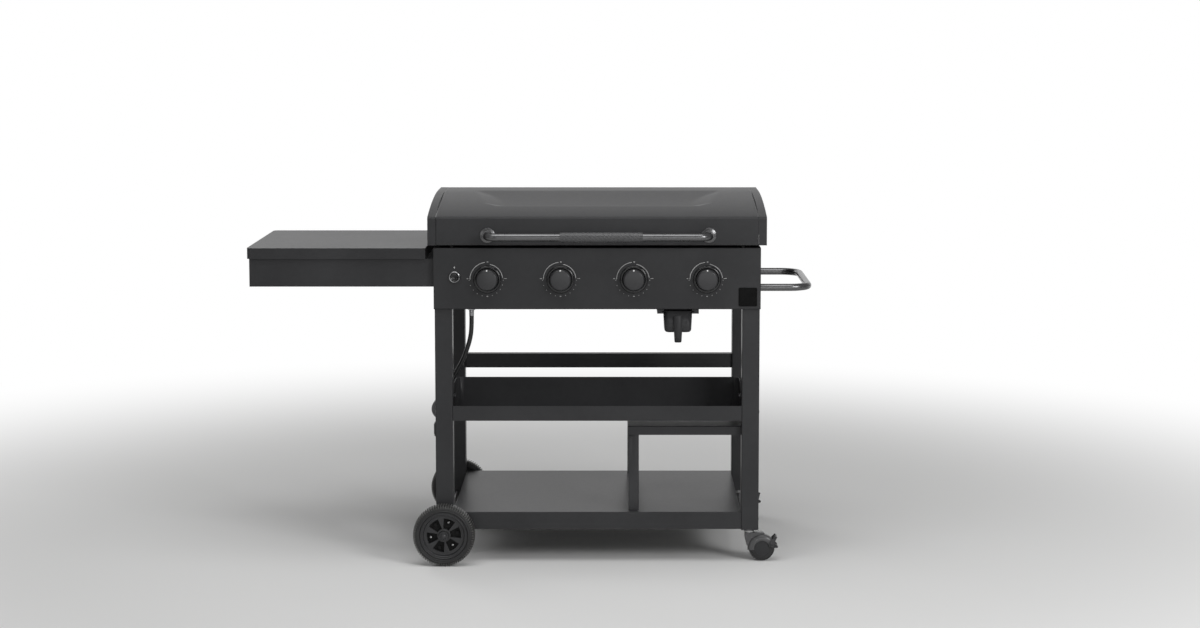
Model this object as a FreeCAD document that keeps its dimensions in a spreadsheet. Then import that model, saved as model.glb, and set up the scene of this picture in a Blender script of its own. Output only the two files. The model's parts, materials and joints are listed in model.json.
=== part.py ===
import FreeCAD, Part
import math
import os
import re
import Sketcher

# Outdoor gas griddle station on a wheeled steel cart.
# Millimetres. X is to the right of a person standing in front, Y points to the back, Z is up.
# Every expression below is written about the middle of the four legs at floor level, and
# each finished piece is then placed so that the origin lies under the middle of the whole object.

os.makedirs("parts", exist_ok=True)
doc = FreeCAD.newDocument("GriddleStation")

SIZES = {
    # How far a cutting shape runs past the metal that it cuts
    "over": 1.0,
    # Cart frame of square steel tube
    "cart_w": 930.0,
    "cart_d": 580.0,
    "leg_w": 50.0,
    "leg_wall": 1.5,
    "tube_corner": 3.0,
    "leg_top": 900.0,
    "wheel_leg_end": 60.0,
    "caster_leg_end": 97.5,
    "plug_flange": 3.0,
    "plug_depth": 22.0,
    "spigot_fit": 1.5,
    "rail_high": 44.0,
    "rail_deep": 30.0,
    "rail_low": 481.0,
    # Folded sheet
    "sheet_t": 1.5,
    "fold_r": 3.0,
    "seat": 0.25,
    "floor_z": 147.5,
    "floor_lip": 50.0,
    "tray_low": 414.0,
    "tray_lip": 43.0,
    "tray_back": 103.0,
    "tray_deep": 150.0,
    "tray_corner": 22.0,
    "tray_rise": 44.0,
    "rack_z": 395.0,
    "rack_lip": 26.0,
    "rack_left": 88.0,
    "rack_inset": 20.0,
    "post_w": 30.0,
    # Control panel, sides and back of the body
    "panel_low": 738.0,
    "panel_top": 914.0,
    "panel_proud": 8.0,
    "panel_ledge": 53.0,
    "leg_gap": 1.5,
    "side_fold": 12.0,
    "vent_w": 70.0,
    "vent_high": 7.0,
    "vent_step": 100.0,
    "vent_drop": 30.0,
    # Burner box, griddle plate and burners
    "tub_low": 790.0,
    "tub_inset": 90.0,
    "tub_ledge": 10.0,
    "tub_vent_r": 16.0,
    "plate_t": 5.0,
    "plate_inset": 13.0,
    "plate_gap": 7.0,
    "splash_t": 3.0,
    "splash_high": 34.0,
    "trough_deep": 36.0,
    "trough_drop": 14.0,
    "trough_lip": 4.0,
    "drain_r": 13.0,
    "burner_r": 16.0,
    "burner_wall": 1.5,
    "burner_out": 30.0,
    # Knobs, valves and igniter
    "knob_pitch": 209.0,
    "knob_z": 824.0,
    "knob_r": 31.0,
    "knob_high": 24.0,
    "knob_gap": 4.0,
    "knob_wall": 2.6,
    "knob_cover": 8.0,
    "knob_boss_w": 5.0,
    "knob_boss_low": 2.0,
    "knob_dome": 1.5,
    "knob_draft": 0.8,
    "knob_edge": 4.0,
    "knob_push": 3.0,
    "bezel_r": 40.0,
    "bezel_high": 6.0,
    "bezel_edge": 3.0,
    "bezel_gap": 1.3,
    "stem_r": 4.0,
    "stem_root": 24.0,
    "stem_gap": 0.3,
    "stem_hole_r": 7.0,
    "run_fit": 0.06,
    "valve_r": 12.0,
    "valve_long": 44.0,
    "valve_bore": 29.0,
    "saddle_w": 18.0,
    "nozzle_r": 4.5,
    "nozzle_long": 26.0,
    "pipe_r": 9.5,
    "pipe_wall": 2.0,
    "pipe_inset": 28.0,
    "pipe_z": 799.0,
    "pipe_tail": 22.0,
    "union_high": 9.0,
    "union_wall": 1.5,
    "spark_x": 407.0,
    "spark_z": 831.0,
    "spark_r": 17.0,
    "collar_wall": 3.0,
    "collar_high": 4.0,
    "collar_edge": 1.0,
    "button_r": 11.0,
    "button_edge": 1.5,
    "button_dome": 0.8,
    "button_out": 9.0,
    "button_deep": 7.0,
    "button_push": 4.0,
    "button_stem_r": 3.5,
    "button_stem": 20.0,
    "spark_pin_r": 3.0,
    "spark_pin_long": 44.0,
    "spark_pin_out": 18.0,
    "spark_lift": 8.0,
    "barrel_r": 7.5,
    "barrel_long": 34.0,
    "barrel_end": 3.0,
    "barrel_step": 2.0,
    # Grease cup, its rails and the chute above it
    "cup_x": 231.0,
    "cup_top_w": 81.0,
    "cup_low_w": 73.0,
    "cup_deep": 88.0,
    "cup_high": 62.0,
    "cup_wall": 1.2,
    "cup_flange": 6.0,
    "cup_tab_w": 24.0,
    "cup_tab_drop": 28.0,
    "rail_reach": 119.0,
    "rail_drop": 13.0,
    "chute_w": 40.0,
    "chute_deep": 26.0,
    "chute_low": 5.0,
    # Lid
    "lid_w": 966.0,
    "lid_proud": 12.0,
    "lid_gap": 8.0,
    "skirt_high": 80.0,
    "crown_high": 125.5,
    "crown_rise": 196.0,
    "crown_r": 1850.0,
    "crown_fall": 50.0,
    "lid_back_high": 62.0,
    "cap_w": 23.0,
    "lip_in": 14.0,
    "dish_start": 112.0,
    "dish_long": 263.0,
    "dish_lip": 10.0,
    "dish_corner": 39.0,
    "dish_cut": 36.0,
    "dish_side": 152.0,
    "dish_flare": 36.0,
    "dish_deep": 9.0,
    "dish_wall": 53.0,
    "hinge_x": 330.0,
    "hinge_w": 56.0,
    "hinge_out": 10.0,
    "hinge_ear": 3.0,
    "hinge_r": 6.5,
    "hinge_pin_r": 3.0,
    "hinge_rise": 2.0,
    "hinge_drop": 52.0,
    "hinge_foot": 36.0,
    "leaf_high": 44.0,
    "grip_half": 117.0,
    "grip_shift": 12.0,
    "grip_r": 14.0,
    "bar_half": 315.0,
    "bar_shift": 3.0,
    "bar_r": 11.0,
    "bar_out": 60.0,
    "bar_up": 29.0,
    "bar_bend": 30.0,
    "rose_r": 21.5,
    "rose_t": 6.0,
    "rose_edge": 4.0,
    # Side shelf and push handle
    "shelf_len": 510.0,
    "shelf_gap": 24.0,
    "shelf_deep": 520.0,
    "shelf_lip": 31.0,
    "shelf_corner": 14.0,
    "apron_high": 80.0,
    "apron_in": 5.0,
    "push_out": 158.0,
    "push_half": 199.0,
    "push_z": 789.0,
    "push_r": 10.5,
    "push_bend": 58.0,
    "flange_r": 22.0,
    "flange_t": 5.0,
    # Wheels on the left, casters on the right
    "axle_r": 6.0,
    "axle_z": 89.0,
    "wheel_r": 89.0,
    "wheel_w": 40.0,
    "wheel_gap": 14.0,
    "rim_r": 69.0,
    "hub_r": 14.0,
    "rib_face": 9.0,
    "window_in": 22.0,
    "window_out": 52.0,
    "window_deep": 11.0,
    "window_corner": 4.0,
    "lug_high": 1.6,
    "lug_w": 8.0,
    "nut_r": 9.5,
    "nut_high": 10.0,
    "caster_r": 37.5,
    "caster_w": 26.0,
    "caster_trail": 36.0,
    "rear_swivel": 45.0,
    "cheek_t": 2.5,
    "fork_deck_t": 3.0,
    "cheek_gap": 2.0,
    "caster_pin_r": 4.0,
    "swivel_r": 6.0,
    "hood_r": 41.0,
    "pedal_x": 27.0,
    "pedal_z": 52.0,
    "pedal_t": 2.0,
    "pedal_pin_r": 2.5,
    # Gas hose
    "hose_r": 6.5,
    "hose_x": 361.0,
    "hose_top": 715.0,
    "hose_gap": 4.0,
    "ferrule_r": 7.2,
    "ferrule_high": 17.0,
    "regulator_r": 31.5,
    "regulator_t": 34.0,
    "regulator_x": 449.0,
    "nut_shift": 9.0,
    "regulator_z": 439.0,
    "port_long": 12.0,
    "port_tilt": 15.0,
    "port_run": 33.0,
    "nut_long": 42.0,
    "nut_bore_r": 10.9,
    "nut_bore_deep": 16.0,
    "hose_nut_r": 17.0,
    "neck_drop": 8.0,
}

sheet = doc.addObject("Spreadsheet::Sheet", "Sizes")
for row, (alias, number) in enumerate(SIZES.items(), start=1):
    sheet.set("A%d" % row, alias)
    sheet.set("B%d" % row, str(number))
    sheet.setAlias("B%d" % row, alias)
doc.recompute()

# Places that several pieces share, as formulas on the sheet's cells
BODY_HALF = "(cart_w / 2 + seat + sheet_t)"
INNER_HALF = "(cart_w / 2 - leg_w - seat)"
PANEL_FRONT = "(-cart_d / 2 - panel_proud)"
PANEL_BACK = "(cart_d / 2 + seat + sheet_t)"
LID_LOW = "(panel_top + lid_gap)"
LID_HALF_D = "(cart_d / 2 + lid_proud)"
HINGE_Y = "(cart_d / 2 + lid_proud + hinge_out)"
HINGE_Z = "(panel_top + lid_gap + hinge_rise)"
LEG_INSIDE = "(cart_d / 2 - leg_w)"
PLATE_HALF = "(cart_w / 2 - plate_inset)"
PLATE_BACK = "(cart_d / 2 - plate_gap)"
TUB_FRONT = "(cart_d / 2 - tub_inset)"
PIPE_Y = "(cart_d / 2 - pipe_inset)"
DISH_HALF = "(lid_w / 2 - dish_side)"
CROWN_FRONT = "(-cart_d / 2 + crown_rise)"
CROWN_BACK = "(cart_d / 2 - crown_fall)"
WHEEL_Y = "(cart_d / 2 + wheel_gap + wheel_w / 2)"
LEG_X = "(cart_w / 2 - leg_w / 2)"
LEG_Y = "(cart_d / 2 - leg_w / 2)"
SHELF_END = "(cart_w / 2 + seat + sheet_t + shelf_gap + shelf_len)"
HANDLE_END = "(cart_w / 2 + seat + sheet_t + push_out)"
FRONT_END = "(cart_d / 2 + lid_proud + bar_out + grip_r)"
BACK_END = "(cart_d / 2 + wheel_gap + wheel_w + nut_high)"
CART_X = "((" + SHELF_END + " - " + HANDLE_END + ") / 2)"
CART_Y = "((" + FRONT_END + " - " + BACK_END + ") / 2)"

TO_FRONT = FreeCAD.Rotation(FreeCAD.Vector(1, 0, 0), 90)
ALONG_X = FreeCAD.Rotation(FreeCAD.Vector(0, 1, 0), 90)
ALONG_Y = FreeCAD.Rotation(FreeCAD.Vector(1, 0, 0), -90)
UPRIGHT = FreeCAD.Rotation()

NODES = []


def cells(formula):
    """The formula with each size written as a cell of the sheet."""
    return re.sub(r"\b([a-z]\w*)\b(?!\()", r"Sizes.\1", str(formula))


def value(formula):
    """The number that a formula gives now."""
    answer = sheet.evalExpression(str(formula))
    return float(getattr(answer, "Value", answer))


def bind(piece, setting, formula):
    piece.setExpression(setting, cells(formula))


def put(piece, at, turn=UPRIGHT):
    """Place a piece about the middle of the cart."""
    piece.Placement = FreeCAD.Placement(FreeCAD.Vector(), turn)
    for axis, formula in zip("xyz", at):
        bind(piece, "Placement.Base." + axis, formula)
    return piece


def node(piece, label, at=("0", "0", "0"), turn=UPRIGHT):
    """Name a finished piece and place it about the origin of the whole object."""
    x, y, z = at
    put(piece, (CART_X + " + (" + x + ")", CART_Y + " + (" + y + ")", z), turn)
    piece.Label = label
    NODES.append(piece)
    return piece


def block(name, size, at=("0", "0", "0")):
    """A rectangular block from its low corner."""
    piece = doc.addObject("Part::Box", name)
    for setting, formula in zip(("Length", "Width", "Height"), size):
        bind(piece, setting, formula)
    return put(piece, at)


def centred(name, size, at):
    """A block whose X and Y are given at its middle, and Z at its foot."""
    x, y, z = at
    low = (x + " - (" + size[0] + ") / 2", y + " - (" + size[1] + ") / 2", z)
    return block(name, size, low)


def rod(name, radius, length, at=("0", "0", "0"), turn=UPRIGHT):
    piece = doc.addObject("Part::Cylinder", name)
    bind(piece, "Radius", radius)
    bind(piece, "Height", length)
    return put(piece, at, turn)


def fuse(name, *pieces):
    piece = doc.addObject("Part::MultiFuse", name)
    piece.Shapes = list(pieces)
    piece.Refine = True
    return piece


def cut(name, base, *tools):
    tool = tools[0] if len(tools) == 1 else fuse(name + "_tools", *tools)
    piece = doc.addObject("Part::Cut", name)
    piece.Base = base
    piece.Tool = tool
    piece.Refine = True
    return piece


def group(name, *pieces):
    """Separate solids that share one node."""
    piece = doc.addObject("Part::Compound", name)
    piece.Links = list(pieces)
    return piece


def plane(body, role):
    return next(feature for feature in body.Origin.OriginFeatures if feature.Role == role)


def outline(body, name, role, corners, lift="0"):
    """A closed sketch of straight sides. A corner is (u, v) or (u, v, radius)."""
    drawing = body.newObject("Sketcher::SketchObject", name)
    drawing.AttachmentSupport = [(plane(body, role), "")]
    drawing.MapMode = "FlatFace"
    bind(drawing, "AttachmentOffset.Base.z", lift)
    spots = [FreeCAD.Vector(value(c[0]), value(c[1]), 0) for c in corners]
    count = len(corners)
    starts = list(spots)
    ends = list(spots)
    for i, corner in enumerate(corners):
        if len(corner) > 2:
            back = (spots[i - 1] - spots[i]).normalize()
            ahead = (spots[(i + 1) % count] - spots[i]).normalize()
            reach = value(corner[2]) / math.tan(back.getAngle(ahead) / 2)
            starts[i] = spots[i] + back * reach
            ends[i] = spots[i] + ahead * reach
    lines = [drawing.addGeometry(Part.LineSegment(ends[i], starts[(i + 1) % count])) for i in range(count)]
    for i, corner in enumerate(corners):
        before = lines[i - 1]
        after = lines[i]
        if len(corner) == 2:
            drawing.addConstraint(Sketcher.Constraint("Coincident", before, 2, after, 1))
            holder = (after, 1)
        else:
            back = (spots[i - 1] - spots[i]).normalize()
            ahead = (spots[(i + 1) % count] - spots[i]).normalize()
            bisector = (back + ahead).normalize()
            radius = value(corner[2])
            middle = spots[i] + bisector * (radius / math.sin(back.getAngle(ahead) / 2))
            left_turn = back.cross(ahead).z < 0
            first, last = (starts[i], ends[i]) if left_turn else (ends[i], starts[i])
            begin = math.atan2(first.y - middle.y, first.x - middle.x)
            finish = math.atan2(last.y - middle.y, last.x - middle.x)
            circle = Part.Circle(middle, FreeCAD.Vector(0, 0, 1), radius)
            arc = drawing.addGeometry(Part.ArcOfCircle(circle, begin, finish))
            enter, leave = (1, 2) if left_turn else (2, 1)
            drawing.addConstraint(Sketcher.Constraint("Tangent", before, 2, arc, enter))
            drawing.addConstraint(Sketcher.Constraint("Tangent", after, 1, arc, leave))
            size = drawing.addConstraint(Sketcher.Constraint("Radius", arc, radius))
            drawing.setExpression("Constraints[%d]" % size, cells(corner[2]))
            mark = drawing.addGeometry(Part.Point(spots[i]), True)
            drawing.addConstraint(Sketcher.Constraint("PointOnObject", mark, 1, before))
            drawing.addConstraint(Sketcher.Constraint("PointOnObject", mark, 1, after))
            holder = (mark, 1)
        across = ("DistanceX", corner[0], spots[i].x)
        upward = ("DistanceY", corner[1], spots[i].y)
        for kind, formula, number in (across, upward):
            index = drawing.addConstraint(Sketcher.Constraint(kind, -1, 1, holder[0], holder[1], number))
            drawing.setExpression("Constraints[%d]" % index, cells(formula))
    return drawing


def padded(name, role, corners, length, lift="0"):
    """A body made by pushing one outline straight out of its plane."""
    body = doc.addObject("PartDesign::Body", name)
    feature = body.newObject("PartDesign::Pad", name + "_pad")
    feature.Profile = outline(body, name + "_outline", role, corners, lift)
    bind(feature, "Length", length)
    body.Tip = feature
    return body


def turned(name, corners):
    """A body made by turning one outline of (radius, height) about its upright axis."""
    body = doc.addObject("PartDesign::Body", name)
    drawing = outline(body, name + "_outline", "XZ_Plane", corners)
    feature = body.newObject("PartDesign::Revolution", name + "_turn")
    feature.Profile = drawing
    feature.ReferenceAxis = (drawing, ["V_Axis"])
    feature.Angle = 360
    body.Tip = feature
    return body


def made(name, shape):
    """A piece whose form is worked out here from the sheet's sizes."""
    piece = doc.addObject("Part::Feature", name)
    piece.Shape = shape
    return piece


def bent_path(points, radii):
    """Straight runs joined by arcs that touch them, as one wire."""
    edges = []
    start = points[0]
    for i in range(1, len(points) - 1):
        back = (points[i - 1] - points[i]).normalize()
        ahead = (points[i + 1] - points[i]).normalize()
        half = back.getAngle(ahead) / 2
        reach = radii[i - 1] / math.tan(half)
        enter = points[i] + back * reach
        leave = points[i] + ahead * reach
        centre = points[i] + (back + ahead).normalize() * (radii[i - 1] / math.sin(half))
        middle = centre + (points[i] - centre).normalize() * radii[i - 1]
        edges.append(Part.LineSegment(start, enter).toShape())
        edges.append(Part.Arc(enter, middle, leave).toShape())
        start = leave
    edges.append(Part.LineSegment(start, points[-1]).toShape())
    return Part.Wire(edges)


def tube_along(points, radii, radius):
    """A round bar bent along the path."""
    path = bent_path(points, radii)
    direction = (points[1] - points[0]).normalize()
    ring = Part.Wire([Part.makeCircle(radius, points[0], direction)])
    return path.makePipeShell([ring], True, False)


def square_tube(name, width, wall, length, at):
    """An upright square tube with rolled corners, from the middle of its foot."""
    half = width + " / 2"
    inner = half + " - " + wall
    inner_r = "tube_corner - " + wall
    outer_ring = [("-" + half, "-" + half), (half, "-" + half), (half, half), ("-" + half, half)]
    near = "-(" + inner + ")"
    inner_ring = [(near, near), (inner, near), (inner, inner), (near, inner)]
    rounded = [(u, v, "tube_corner") for u, v in outer_ring]
    hollow = [(u, v, inner_r) for u, v in inner_ring]
    outside = padded(name + "_outside", "XY_Plane", rounded, length)
    inside = padded(name + "_inside", "XY_Plane", hollow, length + " + 2 * over", "-over")
    return put(outside, at), put(inside, at)


# Legs of square tube. The left pair carries the axle and the right pair the casters.
for side, sign, low in (("left", "-", "wheel_leg_end"), ("right", "", "caster_leg_end")):
    for end, way in (("front", "-"), ("rear", "")):
        name = "leg_" + end + "_" + side
        x = sign + LEG_X
        y = way + LEG_Y
        outside, inside = square_tube(name, "leg_w", "leg_wall", "leg_top - " + low, (x, y, low))
        tools = [inside]
        if side == "left":
            start = y + " - leg_w"
            hole_at = (x, start, "axle_z")
            tools.append(rod(name + "_axle_hole", "axle_r + seat", "2 * leg_w", hole_at, ALONG_Y))
        node(cut(name, outside, *tools), name)

# Plastic plugs that close the lower ends of the two left legs
plugs = []
for end, way in (("front", "-"), ("rear", "")):
    x = "-" + LEG_X
    y = way + LEG_Y
    inside_w = "leg_w - 2 * leg_wall - spigot_fit"
    foot_at = (x, y, "wheel_leg_end - seat - plug_flange")
    foot = centred("plug_foot_" + end, ("leg_w", "leg_w", "plug_flange"), foot_at)
    spigot_high = "axle_z - axle_r - plug_flange - wheel_leg_end"
    spigot = centred("plug_spigot_" + end, (inside_w, inside_w, spigot_high), (x, y, "wheel_leg_end - seat"))
    plugs.append(fuse("plug_" + end, foot, spigot))
node(group("leg_plugs", *plugs), "leg_plugs")

# Rear rail between the rear legs
rail_w = "cart_w - 2 * leg_w - 2 * seat"
rail = centred("rail_outside", (rail_w, "rail_deep", "rail_high"), ("0", LEG_Y, "rail_low"))
hollow_size = (rail_w + " + 2 * over", "rail_deep - 2 * sheet_t", "rail_high - 2 * sheet_t")
hollow = centred("rail_inside", hollow_size, ("0", LEG_Y, "rail_low + sheet_t"))
node(cut("rear_rail", rail, hollow), "rear_rail")


def folded_tray(name, half, top, lip, corner, start, length):
    """A block along X whose two upper long edges are rounded like folded sheet."""
    low = top + " - " + lip
    corners = [("-(" + half + ")", low), (half, low), (half, top, corner), ("-(" + half + ")", top, corner)]
    return padded(name, "YZ_Plane", corners, length, start)


# Bottom shelf: one sheet with its edges folded down between the legs
shelf_w = "2 * " + INNER_HALF
top = folded_tray("floor_outside", "cart_d / 2", "floor_z", "floor_lip", "fold_r", "-" + INNER_HALF, shelf_w)
under_at = "-" + INNER_HALF + " + sheet_t"
under_size = ("cart_d / 2 - sheet_t", "floor_z - sheet_t", "floor_lip", "fold_r - sheet_t")
under = folded_tray("floor_inside", *under_size, under_at, shelf_w + " - 2 * sheet_t")
node(cut("bottom_shelf", top, under), "bottom_shelf")


def tray_corners(inset):
    """Plan of the tray with its two back corners rounded."""
    half = "(" + INNER_HALF + " - " + inset + ")"
    front = "(-cart_d / 2 + " + inset + ")"
    back = "(-cart_d / 2 + tray_deep - " + inset + ")"
    corner = "tray_corner - " + inset
    return [("-" + half, front), (half, front), (half, back, corner), ("-" + half, back, corner)]


# Condiment tray: a deep pressed tray with a low front lip, a high back wall and rounded corners
tray_outer = padded("tray_outer", "XY_Plane", tray_corners("0"), "tray_back", "tray_low")
tray_inner = padded("tray_inner", "XY_Plane", tray_corners("sheet_t"), "tray_back", "tray_low + sheet_t")
slope = [
    ("-cart_d / 2 - over", "tray_low + tray_lip"),
    ("-cart_d / 2 + sheet_t", "tray_low + tray_lip"),
    ("-cart_d / 2 + tray_rise", "tray_low + tray_back"),
    ("-cart_d / 2 + tray_rise", "tray_low + tray_back + over"),
    ("-cart_d / 2 - over", "tray_low + tray_back + over"),
]
tray_slope = padded("tray_slope", "YZ_Plane", slope, "cart_w", "-cart_w / 2")
node(cut("condiment_tray", tray_outer, tray_inner, tray_slope), "condiment_tray")

# Rack over the right half of the bottom shelf: a folded top on two tube posts, held by the right legs
rack_w = INNER_HALF + " - rack_left"
rack_half = "cart_d / 2 - rack_inset"
rack_outer = folded_tray("rack_outer", rack_half, "rack_z", "rack_lip", "fold_r", "rack_left", rack_w)
rack_size = (rack_half + " - sheet_t", "rack_z - sheet_t", "rack_lip", "fold_r - sheet_t")
rack_inner = folded_tray("rack_inner", *rack_size, "rack_left + sheet_t", rack_w + " - 2 * sheet_t")
rack_pieces = [cut("rack_top", rack_outer, rack_inner)]
for end, way in (("front", "-"), ("rear", "")):
    x = "rack_left + sheet_t + seat + post_w / 2"
    y = way + "(cart_d / 2 - rack_inset - sheet_t - seat - post_w / 2)"
    post_high = "rack_z - sheet_t - 2 * seat - floor_z"
    post, bore = square_tube("post_" + end, "post_w", "sheet_t", post_high, (x, y, "floor_z + seat"))
    rack_pieces.append(cut("rack_post_" + end, post, bore))
node(group("rack", *rack_pieces), "rack")

KNOB_PLACES = ["-1.5 * knob_pitch", "-0.5 * knob_pitch", "0.5 * knob_pitch", "1.5 * knob_pitch"]

# Control panel: a folded steel front with a ledge on top, pierced for the valve stems and the igniter
panel_w = "2 * " + BODY_HALF


def panel_corners(inset, behind):
    """Side outline of the panel, drawn in by the sheet and open or closed behind."""
    front = PANEL_FRONT + " + " + inset
    back = PANEL_FRONT + " + panel_ledge + " + behind
    low = "panel_low + " + inset
    top = "panel_top - " + inset
    corner = "fold_r - " + inset
    return [(front, low, corner), (back, low), (back, top), (front, top, corner)]


panel_outer = padded("panel_outer", "YZ_Plane", panel_corners("0", "0"), panel_w, "-" + BODY_HALF)
panel_start = "-" + BODY_HALF + " + sheet_t"
panel_hollow = panel_corners("sheet_t", "over")
panel_inner = padded("panel_inner", "YZ_Plane", panel_hollow, panel_w + " - 2 * sheet_t", panel_start)
tools = [panel_inner]
for way in ("-", ""):
    gap_size = ("leg_w + 2 * leg_gap", "panel_ledge", "sheet_t + 2 * leg_gap + over")
    gap_at = (way + LEG_X, PANEL_FRONT + " + panel_proud - seat + panel_ledge / 2", "panel_low - over")
    tools.append(centred("panel_leg_gap" + ("_left" if way else "_right"), gap_size, gap_at))
for number, x in enumerate(KNOB_PLACES, start=1):
    at = (x, PANEL_FRONT + " - over", "knob_z")
    tools.append(rod("panel_hole_%d" % number, "stem_hole_r", "sheet_t + 2 * over", at, ALONG_Y))
at = ("-spark_x", PANEL_FRONT + " - over", "spark_z")
tools.append(rod("panel_spark_hole", "spark_r - collar_wall", "sheet_t + 2 * over", at, ALONG_Y))
at = ("-hose_x", "-" + PIPE_Y, "panel_low - over")
tools.append(rod("panel_hose_hole", "pipe_r + hose_gap", "sheet_t + 2 * over", at))
node(cut("control_panel", panel_outer, *tools), "control_panel")

# Side panels with a folded top edge, and the rear panel with its row of vents
side_start = PANEL_FRONT + " + panel_ledge + seat"
side_len = "cart_d / 2 - (" + side_start + ")"
sides = []
side_size = ("side_fold", side_len, "panel_top - panel_low")
hollow_size = ("side_fold", side_len + " + 2 * over", "panel_top - panel_low")
for side, corner in (("left", "-" + BODY_HALF), ("right", BODY_HALF + " - side_fold")):
    outer = block("side_outer_" + side, side_size, (corner, side_start, "panel_low"))
    step = "sheet_t" if side == "left" else "-sheet_t"
    inner_at = (corner + " + " + step, side_start + " - over", "panel_low - sheet_t")
    inner = block("side_inner_" + side, hollow_size, inner_at)
    sides.append(cut("side_panel_" + side, outer, inner))
node(group("side_panels", *sides), "side_panels")

rear_size = (panel_w, "sheet_t", "panel_top - panel_low")
rear = block("rear_outer", rear_size, ("-" + BODY_HALF, "cart_d / 2 + seat", "panel_low"))
vents = []
VENTS = 7
for number in range(VENTS):
    x = "%d * vent_step" % (number - VENTS // 2)
    vent_size = ("vent_w", "2 * (seat + sheet_t + over)", "vent_high")
    vents.append(centred("vent_%d" % number, vent_size, (x, "cart_d / 2", "panel_top - vent_drop")))
node(cut("rear_panel", rear, *vents), "rear_panel")

# Burner box: a steel tub whose side flanges rest on the legs
tub_w = "2 * " + INNER_HALF
tub_y = "-" + TUB_FRONT
tub_d = TUB_FRONT + " + cart_d / 2 - seat"
tub = block("tub_outer", (tub_w, tub_d, "leg_top - tub_low + seat"), ("-" + INNER_HALF, tub_y, "tub_low"))
tub_flange_size = ("cart_w", "cart_d / 2 + " + LEG_INSIDE + " - seat", "sheet_t")
tub_flange_at = ("-cart_w / 2", "-" + LEG_INSIDE + " - tub_ledge", "leg_top + seat")
tub_flange = block("tub_flange", tub_flange_size, tub_flange_at)
cavity_size = (tub_w + " - 2 * sheet_t", tub_d + " - 2 * sheet_t", "leg_top")
cavity_at = ("-" + INNER_HALF + " + sheet_t", tub_y + " + sheet_t", "tub_low + sheet_t")
cavity = block("tub_cavity", cavity_size, cavity_at)
mouth_deep = LEG_INSIDE + " + tub_ledge + 2 * over - " + TUB_FRONT
mouth_size = ("2 * " + PLATE_HALF + " + 2 * over", mouth_deep, "seat + sheet_t + 2 * over")
mouth_at = ("-" + PLATE_HALF + " - over", "-" + LEG_INSIDE + " - tub_ledge - over", "leg_top - over")
mouth = block("tub_mouth", mouth_size, mouth_at)
tools = [cavity, mouth]
for number, x in enumerate(KNOB_PLACES, start=1):
    at = (x, tub_y + " - over", "knob_z")
    tools.append(rod("tub_burner_hole_%d" % number, "burner_r + seat", "sheet_t + 2 * over", at, ALONG_Y))
    at = (x + " + 2 * burner_r", tub_y + " - over", "knob_z + spark_lift")
    tools.append(rod("tub_spark_hole_%d" % number, "spark_pin_r + seat", "sheet_t + 2 * over", at, ALONG_Y))
    at = (x, "0", "tub_low - over")
    tools.append(rod("tub_vent_%d" % number, "tub_vent_r", "sheet_t + 2 * over", at))
node(cut("burner_box", fuse("tub_body", tub, tub_flange), *tools), "burner_box")

# Griddle plate: thick rolled steel with splash walls on three sides and a grease trough at the front
plate_low = "(leg_top + seat + sheet_t + seat)"
plate_w = "2 * " + PLATE_HALF
plate_deep = PLATE_BACK + " + " + TUB_FRONT + " + seat"
plate_y = "-" + TUB_FRONT + " - seat"
plate = block("plate_flat", (plate_w, plate_deep, "plate_t"), ("-" + PLATE_HALF, plate_y, plate_low))
back_wall_at = ("-" + PLATE_HALF, PLATE_BACK + " - splash_t", plate_low)
back_wall = block("plate_back_wall", (plate_w, "splash_t", "plate_t + splash_high"), back_wall_at)
walls = [plate, back_wall]
for side, x in (("left", "-" + PLATE_HALF), ("right", PLATE_HALF + " - splash_t")):
    wall_size = ("splash_t", plate_deep, "plate_t + splash_high")
    walls.append(block("plate_wall_" + side, wall_size, (x, plate_y, plate_low)))
trough_y = "(-" + TUB_FRONT + " - seat - trough_deep)"
trough_at = ("-" + PLATE_HALF, trough_y, plate_low + " - trough_drop")
trough_size = (plate_w, "trough_deep", "trough_drop + plate_t + trough_lip")
walls.append(block("trough_outer", trough_size, trough_at))
trough_hollow_size = (plate_w + " - 2 * splash_t", "trough_deep - 2 * splash_t", "2 * splash_high")
hollow_z = plate_low + " - trough_drop + splash_t"
trough_hollow_at = ("-" + PLATE_HALF + " + splash_t", trough_y + " + splash_t", hollow_z)
over_at = ("-" + PLATE_HALF + " + splash_t", trough_y + " + splash_t", plate_low + " + plate_t")
over_size = (plate_w + " - 2 * splash_t", "trough_deep", "2 * splash_high")
over = block("trough_over", over_size, over_at)
drain_at = ("cup_x", trough_y + " + trough_deep / 2", plate_low + " - trough_drop - over")
drain = rod("drain_hole", "drain_r", "splash_t + 2 * over", drain_at)
trough_hollow = block("trough_hollow", trough_hollow_size, trough_hollow_at)
node(cut("griddle_plate", fuse("plate_body", *walls), trough_hollow, over, drain), "griddle_plate")

# Grease chute under the drain hole
chute_top = plate_low + " - trough_drop - seat"
chute_foot = "(panel_low + chute_low)"
chute_y = "-" + TUB_FRONT + " - trough_deep / 2"
chute_high = chute_top + " - " + chute_foot
chute_outer = centred("chute_outer", ("chute_w", "chute_deep", chute_high), ("cup_x", chute_y, chute_foot))
chute_size = ("chute_w - 2 * sheet_t", "chute_deep - 2 * sheet_t", chute_high + " + 2 * over")
chute_inner = centred("chute_inner", chute_size, ("cup_x", chute_y, chute_foot + " - over"))
node(cut("grease_chute", chute_outer, chute_inner), "grease_chute")

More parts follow.
